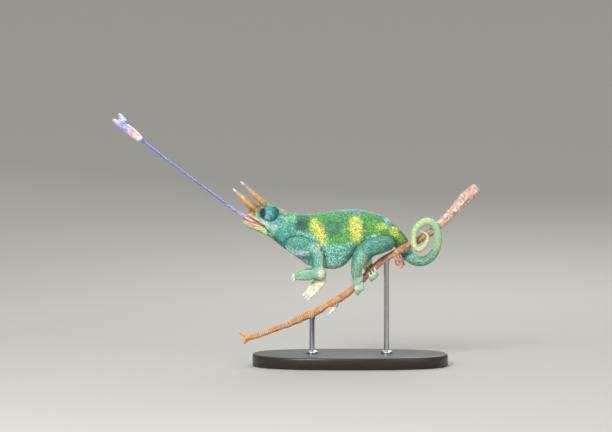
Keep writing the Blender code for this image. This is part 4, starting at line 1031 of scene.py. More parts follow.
def scale_tree():
    """Geometry nodes that grow one piece's scales on the skin, at least a spacing apart."""
    tree = bpy.data.node_groups.new("grow_scales", "GeometryNodeTree")
    tree.interface.new_socket(name="Geometry", in_out="INPUT", socket_type="NodeSocketGeometry")
    names = {
        "Field": group_input(tree, "Field", "NodeSocketString", "coat"),
        "Coat": group_input(tree, "Coat", "NodeSocketInt", 0),
        "Spacing": group_input(tree, "Spacing", "NodeSocketFloat", 0.001),
        "Width": group_input(tree, "Width", "NodeSocketFloat", 0.62),
        "Height": group_input(tree, "Height", "NodeSocketFloat", 0.4),
        "Sunk": group_input(tree, "Sunk", "NodeSocketFloat", 0.1),
        "Seed": group_input(tree, "Seed", "NodeSocketInt", 1),
        "Finish": group_input(tree, "Finish", "NodeSocketMaterial"),
    }
    tree.interface.new_socket(name="Geometry", in_out="OUTPUT", socket_type="NodeSocketGeometry")
    source = add(tree, "NodeGroupInput")
    coat = add(tree, "GeometryNodeInputNamedAttribute", {"Name": source.outputs["Field"]}, data_type="INT")
    other = add(
        tree,
        "FunctionNodeCompare",
        {2: coat.outputs["Attribute"], 3: source.outputs["Coat"]},
        data_type="INT",
        operation="NOT_EQUAL",
    )
    kept = add(
        tree,
        "GeometryNodeDeleteGeometry",
        {"Geometry": source.outputs["Geometry"], "Selection": other.outputs[0]},
        domain="POINT",
    )
    cover = add(tree, "GeometryNodeInputNamedAttribute", {"Name": "cover"}, data_type="FLOAT")
    points = add(
        tree,
        "GeometryNodeDistributePointsOnFaces",
        {
            "Mesh": kept.outputs[0],
            "Distance Min": source.outputs["Spacing"],
            "Density Max": 2.0e7,
            "Density Factor": cover.outputs["Attribute"],
            "Seed": source.outputs["Seed"],
        },
        distribute_method="POISSON",
    )
    luck = add(tree, "FunctionNodeRandomValue", {"Seed": 7}, data_type="FLOAT")
    marked = add(
        tree,
        "GeometryNodeStoreNamedAttribute",
        {"Geometry": points.outputs["Points"], "Name": "luck", "Value": luck.outputs[1]},
        data_type="FLOAT",
    )
    spin = add(tree, "FunctionNodeRandomValue", {2: 0.0, 3: 2 * math.pi, "Seed": 11}, data_type="FLOAT")
    spin = add(tree, "FunctionNodeAxisAngleToRotation", {"Axis": (0, 0, 1), "Angle": spin.outputs[1]})
    turned = add(
        tree,
        "FunctionNodeRotateRotation",
        {"Rotation": points.outputs["Rotation"], "Rotate By": spin.outputs[0]},
        rotation_space="LOCAL",
    )
    size = add(tree, "FunctionNodeRandomValue", {2: 0.86, 3: 1.16, "Seed": 13}, data_type="FLOAT")
    share = {0: source.outputs["Spacing"], 1: source.outputs["Width"]}
    width = add(tree, "ShaderNodeMath", share, operation="MULTIPLY")
    width = add(tree, "ShaderNodeMath", {0: width.outputs[0], 1: size.outputs[1]}, operation="MULTIPLY")
    placed = add(
        tree,
        "GeometryNodeInstanceOnPoints",
        {
            "Points": marked.outputs[0],
            "Instance": dome(tree, source.outputs["Height"], source.outputs["Sunk"], 6).outputs[0],
            "Rotation": turned.outputs[0],
            "Scale": width.outputs[0],
        },
    )
    spent = ("coat", "cover", "bare", "wet", "knobs")
    mapped_and_finished(tree, placed.outputs[0], source.outputs["Finish"], "OFBake", spent)
    return tree, names


def grown(name, mesh, tree, names, values):
    """A piece grown by a geometry tree on a mesh, with the tree's inputs set by name."""
    carrier = bpy.data.objects.new("carrier", mesh)
    bpy.context.scene.collection.objects.link(carrier)
    modifier = carrier.modifiers.new("grow", "NODES")
    modifier.node_group = tree
    for key, value in values.items():
        modifier[names[key]] = value
    made = evaluated_mesh(carrier)
    bpy.data.objects.remove(carrier)
    return piece(name, made, None)


def make_coats(settings):
    """The scales, one piece for each stretch of the body, and the scattered knobs on the flanks."""
    tree, names = scale_tree()
    skin = bpy.data.objects["skin"].data
    base = {
        "Width": settings.width,
        "Height": settings.height,
        "Sunk": settings.sunk,
        "Finish": keratin_scales(),
    }
    for number, (name, (_, spacing)) in enumerate(COATS.items()):
        place = {"Coat": number, "Spacing": spacing * settings.spacing * MM, "Seed": settings.seed + number}
        grown(name, skin, tree, names, {**base, **place})
    knobs = {"Field": "knobs", "Coat": 1, "Spacing": settings.knob_spacing, "Width": 0.27, "Height": 0.5}
    grown("scales_knobs", skin, tree, names, {**base, **knobs, "Seed": settings.seed + 40})


def row_tree():
    """Geometry nodes that set one shaped scale on each point of a carrier, by its aim and size."""
    tree = bpy.data.node_groups.new("set_rows", "GeometryNodeTree")
    tree.interface.new_socket(name="Geometry", in_out="INPUT", socket_type="NodeSocketGeometry")
    names = {
        "Sunk": group_input(tree, "Sunk", "NodeSocketFloat", 0.2),
        "Finish": group_input(tree, "Finish", "NodeSocketMaterial"),
    }
    tree.interface.new_socket(name="Geometry", in_out="OUTPUT", socket_type="NodeSocketGeometry")
    source = add(tree, "NodeGroupInput")
    lift = add(tree, "GeometryNodeInputNamedAttribute", {"Name": "lift"}, data_type="FLOAT_VECTOR")
    aim = add(tree, "GeometryNodeInputNamedAttribute", {"Name": "aim"}, data_type="FLOAT_VECTOR")
    size = add(tree, "GeometryNodeInputNamedAttribute", {"Name": "size"}, data_type="FLOAT_VECTOR")
    turn = add(
        tree,
        "FunctionNodeAxesToRotation",
        {"Primary Axis": lift.outputs["Attribute"], "Secondary Axis": aim.outputs["Attribute"]},
        primary_axis="Z",
        secondary_axis="X",
    )
    placed = add(
        tree,
        "GeometryNodeInstanceOnPoints",
        {
            "Points": source.outputs["Geometry"],
            "Instance": dome(tree, 1.0, source.outputs["Sunk"], 8).outputs[0],
            "Rotation": turn.outputs[0],
            "Scale": size.outputs["Attribute"],
        },
    )
    spent = ("lift", "aim", "size", "root")
    mapped_and_finished(tree, placed.outputs[0], source.outputs["Finish"], "root", spent)
    return tree, names


def along_path(path, spacing):
    """Places at even steps along a path of points, and the path's direction at each."""
    path = smooth_rows(np.column_stack([path, np.zeros(len(path))]), 400)[:, :3]
    steps = np.concatenate([[0], np.cumsum(np.linalg.norm(np.diff(path, axis=0), axis=1))])
    wanted = np.arange(spacing / 2, steps[-1], spacing)
    places = np.column_stack([np.interp(wanted, steps, path[:, k]) for k in range(3)])
    headings = np.gradient(path, axis=0)
    return places, np.column_stack([np.interp(wanted, steps, headings[:, k]) for k in range(3)])


def edge_of_back(surface, low, high, sign, within):
    """Points along the top or the bottom edge of the body, seen from the side."""
    found = []
    for x in np.arange(low, high, 2.5):
        near = (abs(surface.points[:, 0] - x) < 0.8) & (abs(surface.points[:, 1]) < 2.5)
        near &= (surface.points[:, 2] > within[0]) & (surface.points[:, 2] < within[1])
        spots = surface.points[near]
        if len(spots):
            found.append(spots[np.argmax(sign * spots[:, 2])] * (1, 0, 1))
    return np.array(found)


def make_rows(settings):
    """The rows of shaped scales: the crests of back and throat, the lips, the casque and the brows."""
    surface = Surface(bpy.data.objects["skin"].data)
    draw = np.random.default_rng(settings.seed)
    rows = []

    def lay(path, spacing, size, colour, share, lean=0.0):
        places, headings = along_path(path, spacing)
        for place, heading in zip(places, headings):
            spot, normal, tint, unwrap = surface.touch(place)
            lift = unit(normal + lean * unit(heading))
            vary = draw.uniform(0.85, 1.15)
            mixed = tint + share * (paint_of(colour) - tint)
            rows.append((spot, lift, heading, np.array(size) * vary, mixed, unwrap, draw.uniform()))

    top = edge_of_back(surface, -42, 40, 1, (95, 130))
    lay(top, 1.45, (0.75, 0.42, 1.25), "#9fd6bd", 0.5, 0.35)
    throat = edge_of_back(surface, -66, -37, -1, (78, 112))
    lay(throat, 1.6, (0.7, 0.5, 0.9), "#e8ecc8", 0.75, 0.2)
    for side in (LEFT, RIGHT):
        upper, lower, rim, brow = [], [], [], []
        for ahead, out in UPPER_LIP:
            upper.append(in_head(ahead, out, lip_heights(ahead)[0] + 0.95, side))
        for ahead, out in LOWER_LIP:
            lower.append(in_head(ahead, out, lip_heights(ahead)[1] - 0.95, side))
        for place in RIM_LINE:
            rim.append(in_head(*place, side))
        for place in BROW_LINE:
            brow.append(in_head(*place, side))
        lay(upper, 1.25, (0.72, 0.55, 0.42), "#dcd68c", 0.85)
        lay(lower, 1.25, (0.72, 0.58, 0.42), "#e0dca0", 0.7)
        lay(rim, 1.15, (0.72, 0.62, 0.62), "#d4d8a8", 0.75)
        lay(brow, 1.1, (0.62, 0.5, 0.45), "#c4b27a", 0.6)
    carrier = bpy.data.meshes.new("row_points")
    carrier.from_pydata([tuple(row[0] * MM) for row in rows], [], [])
    columns = [np.array([row[k] for row in rows]) for k in range(7)]
    write(carrier, "lift", "FLOAT_VECTOR", columns[1])
    write(carrier, "aim", "FLOAT_VECTOR", columns[2])
    write(carrier, "size", "FLOAT_VECTOR", columns[3] * MM)
    write(carrier, "tint", "FLOAT_COLOR", np.column_stack([columns[4], np.ones(len(rows))]))
    write(carrier, "root", "FLOAT_VECTOR", np.column_stack([columns[5], np.zeros(len(rows))]))
    write(carrier, "luck", "FLOAT", columns[6])
    write(carrier, "speck", "FLOAT", np.full(len(rows), 0.25))
    tree, names = row_tree()
    grown("scales_rows", carrier, tree, names, {"Sunk": 0.25, "Finish": bpy.data.materials["keratin_scales"]})


def horn_keratin(settings):
    """Horn keratin: tan, ringed across, paler and clearer towards the tip, with a soft gloss."""
    material, tree, shader = blank_finish("horn_keratin")
    along = add(tree, "ShaderNodeAttribute", attribute_name="along")
    place = add(tree, "ShaderNodeTexCoord")
    stops = ((0.0, "#7d6030"), (0.16, "#a58048"), (0.55, "#bd9468"), (0.84, "#a3968c"), (1.0, "#ece4d6"))
    ramp = add(tree, "ShaderNodeValToRGB", {"Fac": along.outputs["Fac"]}, stops)
    rings = add(tree, "ShaderNodeMath", {0: along.outputs["Fac"], 1: 150.0}, operation="MULTIPLY")
    rings = add(tree, "ShaderNodeMath", {0: rings.outputs[0]}, operation="SINE")
    clouds = {"Vector": place.outputs["Object"], "Scale": HORN_CLOUDS, "Detail": 3.0}
    blot = add(tree, "ShaderNodeTexNoise", clouds)
    both = {0: rings.outputs[0], 1: 0.07, 2: blot.outputs[0]}
    both = add(tree, "ShaderNodeMath", both, operation="MULTIPLY_ADD")
    tones = {"Value": both.outputs[0], "From Min": 0.3, "From Max": 0.7, "To Min": 0.72, "To Max": 1.15}
    shade = add(tree, "ShaderNodeMapRange", tones)
    colour = add(tree, "ShaderNodeVectorMath", {0: ramp.outputs[0], 3: shade.outputs[0]}, operation="SCALE")
    tree.links.new(colour.outputs[0], shader.inputs["Base Color"])
    shader.inputs["Roughness"].default_value = settings.roughness
    return material


def make_horns(settings):
    """The three ringed horns."""
    finish = horn_keratin(settings)
    for name, (root, tip, wide, middle, side) in HORNS.items():
        root, tip = np.array(root), np.array(tip)
        rows = []
        for place in np.linspace(0.02, 1.0, 90):
            point = root + place * (tip - root)
            point[2] -= 1.6 * place * (1 - place)
            radius = horn_radius(place, wide, middle)
            groove = abs(math.sin(place * settings.rings * math.pi)) ** 0.6
            radius *= 1 - 0.09 * (1 - groove) * (1 - place**2)
            rows.append((*in_head(*point, side), radius))
        points, faces = tube(rows, 20, SIDE)
        mesh = mesh_of(name + "_keratin", [(points, faces)])
        axis = in_head(*tip, side) - in_head(*root, side)
        share = (read(mesh, "co", 3) / MM - in_head(*root, side)) @ axis
        write(mesh, "along", "FLOAT", np.clip(share / np.linalg.norm(tip - root) ** 2, 0, 1))
        piece(name + "_keratin", mesh, finish, [name])


def wet_eye():
    """A wet lizard eye: black pupil and thin golden iris, with the sharp gloss of a clear cornea."""
    material, tree, shader = blank_finish("wet_eye")
    ring = add(tree, "ShaderNodeAttribute", attribute_name="ring")
    stops = ((0.0, "#050505"), (0.50, "#060505"), (0.55, "#8a5e26"), (0.62, "#3a2010"), (1.0, "#0c0806"))
    ramp = add(tree, "ShaderNodeValToRGB", {"Fac": ring.outputs["Fac"]}, stops)
    tree.links.new(ramp.outputs[0], shader.inputs["Base Color"])
    shader.inputs["Roughness"].default_value = 0.08
    shader.inputs["Coat Weight"].default_value = 1.0
    return material


def make_eyes(settings):
    """The eyeballs that show in the lids' openings."""
    finish = wet_eye()
    for word, side in SIDES.items():
        axis = head_direction(*GAZE, side)
        centre = in_head(*TURRET, side) + axis * (TURRET_RADIUS - settings.radius / MM - 0.45)
        radius = settings.radius / MM
        rows = []
        for turn in np.linspace(0.02, 1.75, 22):
            rows.append((*(centre + axis * radius * math.cos(turn)), radius * math.sin(turn)))
        mesh = mesh_of(f"eyeball_{word}", [tube(rows, 28, CROWNWARD)])
        offset = read(mesh, "co", 3) / MM - centre
        turn = np.arccos(np.clip(offset @ axis / np.maximum(np.linalg.norm(offset, axis=1), 1e-6), -1, 1))
        write(mesh, "ring", "FLOAT", np.clip(turn / 1.0, 0, 1))
        piece(f"eyeball_{word}", mesh, finish, [f"eye_{word}"])


def claw_keratin(settings):
    """Claw keratin: cream, faintly clouded, smoother and glossier than the scales."""
    material, tree, shader = blank_finish("claw_keratin")
    place = add(tree, "ShaderNodeTexCoord")
    clouds = {"Vector": place.outputs["Object"], "Scale": CLAW_CLOUDS, "Detail": 2.0}
    blot = add(tree, "ShaderNodeTexNoise", clouds)
    mixed = add(
        tree,
        "ShaderNodeMix",
        {0: blot.outputs[0], 6: linear("#cfc8a8"), 7: linear("#f2efe0")},
        data_type="RGBA",
    )
    tree.links.new(mixed.outputs[2], shader.inputs["Base Color"])
    shader.inputs["Roughness"].default_value = settings.roughness
    return material


def make_claws(settings):
    """The claws: pale horn, one on each toe."""
    parts = []
    for node in FLESH:
        if not node.startswith(("hand", "foot")):
            continue
        for tip, root in claw_ends(node):
            heading = unit(tip - root)
            start = root - heading * 1.4
            rows = []
            for place in np.linspace(0, 1, 9):
                radius = settings.radius / MM * (1 - place) ** 0.7 + 0.05
                rows.append((*(start + place * (tip - start)), radius))
            parts.append(tube(rows, 9, SIDE))
    piece("claws", mesh_of("claws", parts), claw_keratin(settings))


def wet_tongue_flesh(settings):
    """Wet muscle of the tongue: bluish stalk, lilac club and pink root, glossy with a film of slime."""
    material, tree, shader = blank_finish("wet_tongue_flesh")
    along = add(tree, "ShaderNodeAttribute", attribute_name="along")
    place = add(tree, "ShaderNodeTexCoord")
    stops = (
        (0.0, "#d07d88"),
        (0.075, "#c98490"),
        (0.10, "#8e86a4"),
        (0.20, "#6f70a8"),
        (0.80, "#5a68ac"),
        (0.815, "#dcc6bc"),
        (0.87, "#c4aab8"),
        (0.92, "#8f90c8"),
        (0.965, "#a9abdc"),
        (1.0, "#d0ab7c"),
    )
    ramp = add(tree, "ShaderNodeValToRGB", {"Fac": along.outputs["Fac"]}, stops)
    folds = {"Vector": place.outputs["Object"], "Scale": TONGUE_FOLDS, "Detail": 3.0}
    blot = add(tree, "ShaderNodeTexNoise", folds)
    tones = {"Value": blot.outputs[0], "From Min": 0.3, "From Max": 0.7, "To Min": 0.7, "To Max": 1.25}
    shade = add(tree, "ShaderNodeMapRange", tones)
    colour = add(tree, "ShaderNodeVectorMath", {0: ramp.outputs[0], 3: shade.outputs[0]}, operation="SCALE")
    tree.links.new(colour.outputs[0], shader.inputs["Base Color"])
    shader.inputs["Roughness"].default_value = settings.roughness
    shader.inputs["Coat Weight"].default_value = 0.6
    bump = add(tree, "ShaderNodeBump", {"Height": blot.outputs[0], "Distance": 0.0003, "Strength": 0.6})
    tree.links.new(bump.outputs[0], shader.inputs["Normal"])
    return material


def make_tongue(settings):
    """The tongue in one length, from the floor of the mouth to its two-lobed club."""
    nodes = ["tongue_root", "tongue_stalk", "tongue_club"]
    obj = fused(nodes, settings.voxel / MM, 0.2)
    relax(obj, 6)
    mesh = obj.data
    points, normals = read(mesh, "co", 3) / MM, read(mesh, "normal", 3)
    start, end = in_head(4.0, 0.0, -6.7), np.array([-182.0, 0.0, 190.0])
    share = (points - start) @ (end - start) / np.linalg.norm(end - start) ** 2
    sleeve = step(share, 0.10, 0.15) * (1 - step(share, 0.2, 0.25))
    moved = points - normals * (0.2 - 0.12 * sleeve * np.cos(share * 500))[:, None]
    mesh.vertices.foreach_set("co", (moved * MM).astype(np.float32).ravel())
    write(mesh, "along", "FLOAT", np.clip(share, 0, 1))
    mesh.shade_smooth()
    mesh.update()
    bpy.data.objects.remove(obj)
    piece("tongue", mesh, wet_tongue_flesh(settings), nodes)


def perch_place(points):
    """For each point, how far along the perch it is, the turn round it, and the perch's radius."""
    line = smooth_rows(PERCH_LINE, 260)
    tree = KDTree(len(line))
    for k, row in enumerate(line):
        tree.insert(row[:3], k)
    tree.balance()
    nearest = np.array([tree.find(point)[1] for point in points])
    steps = np.concatenate([[0], np.cumsum(np.linalg.norm(np.diff(line[:, :3], axis=0), axis=1))])
    heading = np.gradient(line[:, :3], axis=0)
    heading /= np.linalg.norm(heading, axis=1)[:, None]
    offset = points - line[nearest, :3]
    along = steps[nearest] + (offset * heading[nearest]).sum(1)
    up = np.cross(heading[nearest], SIDE)
    turn = np.arctan2((offset * up).sum(1), offset[:, 1])
    return along, turn, line[nearest, 3]


def twig_bark():
    """Thin shrub bark: dull and rough, orange brown on the young end and grey pink on the old wood."""
    material, tree, shader = blank_finish("twig_bark")
    tint = add(tree, "ShaderNodeAttribute", attribute_name="tint")
    place = add(tree, "ShaderNodeTexCoord")
    fibres = {"Vector": place.outputs["Object"], "Scale": BARK_GRAIN, "Detail": 4.0}
    grain = add(tree, "ShaderNodeTexNoise", fibres)
    tones = {"Value": grain.outputs[0], "From Min": 0.3, "From Max": 0.7, "To Min": 0.65, "To Max": 1.3}
    shade = add(tree, "ShaderNodeMapRange", tones)
    toned = {0: tint.outputs["Color"], 3: shade.outputs[0]}
    colour = add(tree, "ShaderNodeVectorMath", toned, operation="SCALE")
    tree.links.new(colour.outputs[0], shader.inputs["Base Color"])
    shader.inputs["Roughness"].default_value = 0.72
    bump = add(tree, "ShaderNodeBump", {"Height": grain.outputs[0], "Distance": 0.0004, "Strength": 0.7})
    tree.links.new(bump.outputs[0], shader.inputs["Normal"])
    return material


def make_perch(settings):
    """The perch, with cracked bark, growth rings, a peeled sliver and a torn tip."""
    obj = fused(["perch"], settings.voxel / MM, 0.0)
    relax(obj, 14)
    mesh = obj.data
    points, normals = read(mesh, "co", 3) / MM, read(mesh, "normal", 3)
    along, turn, radius = perch_place(points)
    young = 1 - step(along, 70, 110)
    scar = np.zeros(len(points))
    for place in settings.scars:
        scar = np.maximum(scar, np.exp(-(((along + 0.5 * mottle(points, 4, 55) - place) / 1.6) ** 2)))
    rings = np.cos(along * 2 * math.pi / 1.5 + 1.5 * mottle(points, 6, 51)) * (0.25 + scar)
    crack = mottle(np.column_stack([along * 0.3, np.cos(turn) * 4, np.sin(turn) * 4]), 1.1, 52)
    cross = mottle(np.column_stack([along * 2.2, np.cos(turn) * 2, np.sin(turn) * 2]), 2.2, 56)
    relief = young * (0.10 * rings + 0.25 * scar) + 0.10 * crack + 0.08 * cross
    relief = relief + 0.10 * mottle(points, 2.2, 53)
    moved = points + normals * (relief - 0.2)[:, None]
    colours = np.tile(paint_of("#b5805a"), (len(points), 1))
    colours = blend(colours, young, "#c07d3c")
    colours = blend(colours, 0.5 * young * step(mottle(points, 5.0, 57), 0.1, 0.8), "#d9a866")
    colours = blend(colours, 0.7 * young * step(mottle(points, 7.0, 58), 0.3, 0.9), "#b79a94")
    colours = blend(colours, 0.8 * young * scar, "#cdb39a")
    colours = blend(colours, 0.7 * young * step(-rings, 0.25, 0.7), "#6a3a1a")
    colours = blend(colours, 0.5 * young * step(-normals[:, 2], 0.1, 0.8), "#a58c86")
    old = step(along, 150, 190)
    colours = blend(colours, 0.8 * old, "#c4a69c")
    colours = blend(colours, 0.6 * (1 - young) * step(crack, 0.2, 0.9), "#84523a")
    colours = blend(colours, 0.5 * (1 - young) * step(cross, 0.3, 0.9), "#d8b89a")
    colours = blend(colours, 0.6 * old * step(mottle(points, 2.5, 54), 0.1, 0.7), "#e4d4cf")
    root, tip = np.array([-12.0, -1.6, 43.8]), np.array([-17.6, -2.0, 38.6])
    share = np.clip((points - root) @ (tip - root) / ((tip - root) @ (tip - root)), 0, 1)
    reach = np.linalg.norm(points - root - share[:, None] * (tip - root), axis=1)
    colours = blend(colours, step(reach, 2.6, 2.2) * step(45.0 - points[:, 2], 0, 0.6), "#efe9dd")
    bud = step(83.5 - points[:, 2], 0, 1.5) * (abs(points[:, 0] - 38.0) < 6)
    moved += normals * (bud * 0.3 * mottle(points, 1.8, 59))[:, None]
    colours = blend(colours, bud * step(mottle(points, 2.0, 60), 0.0, 0.5), "#a67f86")
    colours = blend(colours, bud * step(77.2 - points[:, 2], 0, 0.8), "#dcbfa4")
    cut = step(along, along.max() - 0.5, along.max() - 0.2)
    colours = blend(colours, cut, "#d9bd94")
    mesh.vertices.foreach_set("co", (moved * MM).astype(np.float32).ravel())
    write(mesh, "tint", "FLOAT_COLOR", np.column_stack([colours, np.ones(len(points))]))
    mesh.shade_smooth()
    mesh.update()
    bpy.data.objects.remove(obj)
    piece("perch_bark", mesh, twig_bark(), ["perch"])


def black_lacquered_wood(settings):
    """Black lacquered wood: nearly black with a soft gloss, its grain just showing along the base."""
    material, tree, shader = blank_finish("black_lacquered_wood")
    place = add(tree, "ShaderNodeTexCoord")
    stretch = {"Vector": place.outputs["Object"], "Scale": WOOD_STRETCH}
    mapping = add(tree, "ShaderNodeMapping", stretch)
    grain = add(tree, "ShaderNodeTexNoise", {"Vector": mapping.outputs[0], "Scale": 4.0, "Detail": 4.0})
    mixed = add(
        tree,
        "ShaderNodeMix",
        {0: grain.outputs[0], 6: linear("#17120f"), 7: linear("#2c241f")},
        data_type="RGBA",
    )
    tree.links.new(mixed.outputs[2], shader.inputs["Base Color"])
    shader.inputs["Roughness"].default_value = settings.roughness
    bump = add(tree, "ShaderNodeBump", {"Height": grain.outputs[0], "Distance": 0.0002, "Strength": 0.3})
    tree.links.new(bump.outputs[0], shader.inputs["Normal"])
    return material


def satin_steel():
    """Satin steel rod: bright grey metal, brushed, so that its highlights are soft."""
    material, tree, shader = blank_finish("satin_steel")
    place = add(tree, "ShaderNodeTexCoord")
    marks = {"Vector": place.outputs["Object"], "Scale": STEEL_BRUSHING}
    brushed = add(tree, "ShaderNodeTexNoise", marks)
    tone = add(
        tree,
        "ShaderNodeMix",
        {0: brushed.outputs[0], 6: linear("#a3a4a6"), 7: linear("#c4c5c7")},
        data_type="RGBA",
    )
    tree.links.new(tone.outputs[2], shader.inputs["Base Color"])
    shader.inputs["Metallic"].default_value = 1.0
    shader.inputs["Roughness"].default_value = 0.32
    return material


def make_stand(settings):
    """The display stand: a lacquered wooden base and two satin steel rods."""
    low, high = (np.array(corner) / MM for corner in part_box("stand_base"))
    edge = settings.edge / MM
    half = (high - low) / 2
    profile = [(0.0, 0.6), (0.6, 0.0), (high[2] - edge, 0.0)]
    for turn in np.linspace(0.3, math.pi / 2, 6):
        profile.append((high[2] - edge + edge * math.sin(turn), edge * (1 - math.cos(turn))))
    turn = np.arange(ROUND_SIDES) * 2 * math.pi / ROUND_SIDES
    power = 2 / BASE_SQUARENESS
    wave_x = np.sign(np.cos(turn)) * abs(np.cos(turn)) ** power
    wave_y = np.sign(np.sin(turn)) * abs(np.sin(turn)) ** power
    rings = []
    for height, inset in profile:
        level = np.full(ROUND_SIDES, height)
        rings.append(np.column_stack([wave_x * (half[0] - inset), wave_y * (half[1] - inset), level]))
    last = (len(rings) - 1) * ROUND_SIDES
    faces = [tuple(range(ROUND_SIDES - 1, -1, -1)), tuple(range(last, last + ROUND_SIDES))]
    faces += between_rings(len(rings), ROUND_SIDES)
    base = mesh_of("base", [(np.vstack(rings), faces)])
    base.set_sharp_from_angle(angle=math.radians(50))
    piece("base", base, black_lacquered_wood(settings), ["stand_base"])
    steel = satin_steel()
    for word in ("front", "rear"):
        low, high = (np.array(corner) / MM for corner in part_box(f"stand_rod_{word}"))
        x, y = (low[:2] + high[:2]) / 2
        foot, neck = 4.6, 2.0
        top = high[2] - 0.4
        profile = (
            (low[2], foot - 0.3),
            (low[2] + 0.3, foot),
            (low[2] + 1.4, foot - 0.15),
            (low[2] + 1.9, foot - 0.9),
            (low[2] + 2.5, neck),
            (top - 3.0, neck),
            (top - 2.2, neck + 0.55),
            (top, neck + 0.7),
        )
        rod = mesh_of(f"rod_{word}", [tube([(x, y, z, r) for z, r in profile], 32, SIDE)])
        rod.set_sharp_from_angle(angle=math.radians(40))
        piece(f"rod_{word}", rod, steel, [f"stand_rod_{word}"])


def make_stage(settings):
    """A plain pale floor, soft studio light and the photograph's camera."""
    scene = bpy.context.scene
    for old in [obj for obj in scene.objects if obj.type in ("LIGHT", "CAMERA") or obj.name == "Cube"]:
        bpy.data.objects.remove(old)
    profile = [(settings.flat, 0.0)]
    for turn in np.linspace(0.05, SWEEP_END, 24):
        away, height = SWEEP_RADIUS * math.sin(turn), SWEEP_RADIUS * (1 - math.cos(turn))
        profile.append((settings.flat + away, height))
    turn = np.arange(ROUND_SIDES) * 2 * math.pi / ROUND_SIDES
    points = [(r * math.cos(a), r * math.sin(a), z) for r, z in profile for a in turn]
    faces = [tuple(range(ROUND_SIDES)), *between_rings(len(profile), ROUND_SIDES)]
    floor = bpy.data.objects.new("floor", mesh_of("floor", [(np.array(points) / MM, faces)]))
    # Seamless studio paper: plain and matt, so that nothing on it draws the eye.
    paper, _, shader = blank_finish("pale_floor")
    shader.inputs["Base Color"].default_value = tuple(settings.floor)
    shader.inputs["Roughness"].default_value = 0.9
    floor.data.materials.append(paper)
    scene.collection.objects.link(floor)
    scene.world = scene.world or bpy.data.worlds.new("studio")
    scene.world.use_nodes = True
    sky = scene.world.node_tree.nodes["Background"]
    sky.inputs[0].default_value = linear("#e9e9e6")
    sky.inputs[1].default_value = settings.ambient
    for name, place, size, share in LAMPS:
        data = bpy.data.lights.new(name, "AREA")
        data.size = size
        data.energy = settings.key * share
        lamp = bpy.data.objects.new(name, data)
        lamp.location = place
        aim = np.array(LOOK_AT) - np.array(place)
        lamp.rotation_mode = "QUATERNION"
        lamp.rotation_quaternion = Vector(aim).to_track_quat("-Z", "Y")
        scene.collection.objects.link(lamp)
    data = bpy.data.cameras.new("camera")
    data.sensor_width = SENSOR
    data.lens = SENSOR * CAMERA_DISTANCE / FIELD_WIDTH
    camera = bpy.data.objects.new("camera", data)
    camera.location = (LOOK_AT[0], -CAMERA_DISTANCE, LOOK_AT[2])
    camera.rotation_euler = (math.pi / 2, 0, 0)
    scene.collection.objects.link(camera)
    scene.camera = camera
    scene.view_settings.view_transform = "Standard"


def length_of(name, description, default):
    """A length property in metres, with its default in millimetres."""
    return FloatProperty(
        name=name, description=description, default=default * MM, subtype="DISTANCE", unit="LENGTH"
    )


def share_of(name, description, default):
    """A property from 0 to 1."""
    return FloatProperty(
        name=name, description=description, default=default, min=0.0, max=1.0, subtype="FACTOR"
    )


class SkinSettings(bpy.types.PropertyGroup):
    """Sizes of the animal's skin."""

    voxel: length_of("Voxel", "Finest detail of the fused skin", 0.42)
    swell: length_of("Swell", "How far each part grows so that the gaps between them close", 0.25)
    coat_depth: length_of("Coat depth", "How far the skin lies inside the scales' crowns", 0.14)
    triangles: IntProperty(name="Triangles", description="Most triangles of the skin", default=188000)


class ScaleSettings(bpy.types.PropertyGroup):
    """Sizes of the scales."""

    spacing: FloatProperty(name="Spacing", description="Factor on each piece's own spacing", default=1.0)
    width: share_of("Width", "A scale's radius as a share of the spacing", 0.74)
    height: share_of("Height", "A scale's height as a share of its radius", 0.40)
    sunk: share_of("Sunk", "How far a scale's rim sits in the skin, of its radius", 0.10)
    knob_spacing: length_of("Knob spacing", "The closest that two larger knobs stand", 3.2)
    seed: IntProperty(name="Seed", description="Start of the random places", default=5)


class HornSettings(bpy.types.PropertyGroup):
    """Finish of the horns."""

    rings: FloatProperty(name="Rings", description="Growth rings along each horn", default=15.0)
    roughness: share_of("Roughness", "Roughness of the horn", 0.38)


class EyeSettings(bpy.types.PropertyGroup):
    """Size of the eyes."""

    radius: length_of("Radius", "Radius of the eyeball behind the lids' opening", 2.6)


class ClawSettings(bpy.types.PropertyGroup):
    """Size of the claws."""

    radius: length_of("Radius", "Radius of a claw at its root", 0.68)
    roughness: share_of("Roughness", "Roughness of the claws", 0.3)


class TongueSettings(bpy.types.PropertyGroup):
    """Finish of the tongue."""

    voxel: length_of("Voxel", "Finest detail of the tongue", 0.3)
    roughness: share_of("Roughness", "Roughness of the wet flesh", 0.22)


class PerchSettings(bpy.types.PropertyGroup):
    """Detail of the perch."""

    voxel: length_of("Voxel", "Finest detail of the bark", 0.32)
    scars: FloatVectorProperty(
        name="Scars",
        description="Where the leaf scars ring the young twig, in millimetres from its tip",
        size=8,
        default=(12.0, 17.0, 31.0, 34.0, 44.0, 53.0, 62.0, 75.0),
    )


class StandSettings(bpy.types.PropertyGroup):
    """Finish of the stand."""

    edge: length_of("Edge", "Radius of the base's upper edge", 1.5)
    roughness: share_of("Roughness", "Roughness of the lacquer", 0.35)


class StageSettings(bpy.types.PropertyGroup):
    """Light and floor."""

    floor: FloatVectorProperty(
        name="Floor", description="Colour of the floor", subtype="COLOR", size=4, default=linear("#aaa8a3")
    )
    flat: FloatProperty(
        name="Flat", description="Radius of the floor before it curves up", default=1.0, subtype="DISTANCE"
    )
    ambient: FloatProperty(name="Ambient", description="Strength of the even light all round", default=0.5)
    key: FloatProperty(name="Key", description="Power of the key light", default=20.0, subtype="POWER")


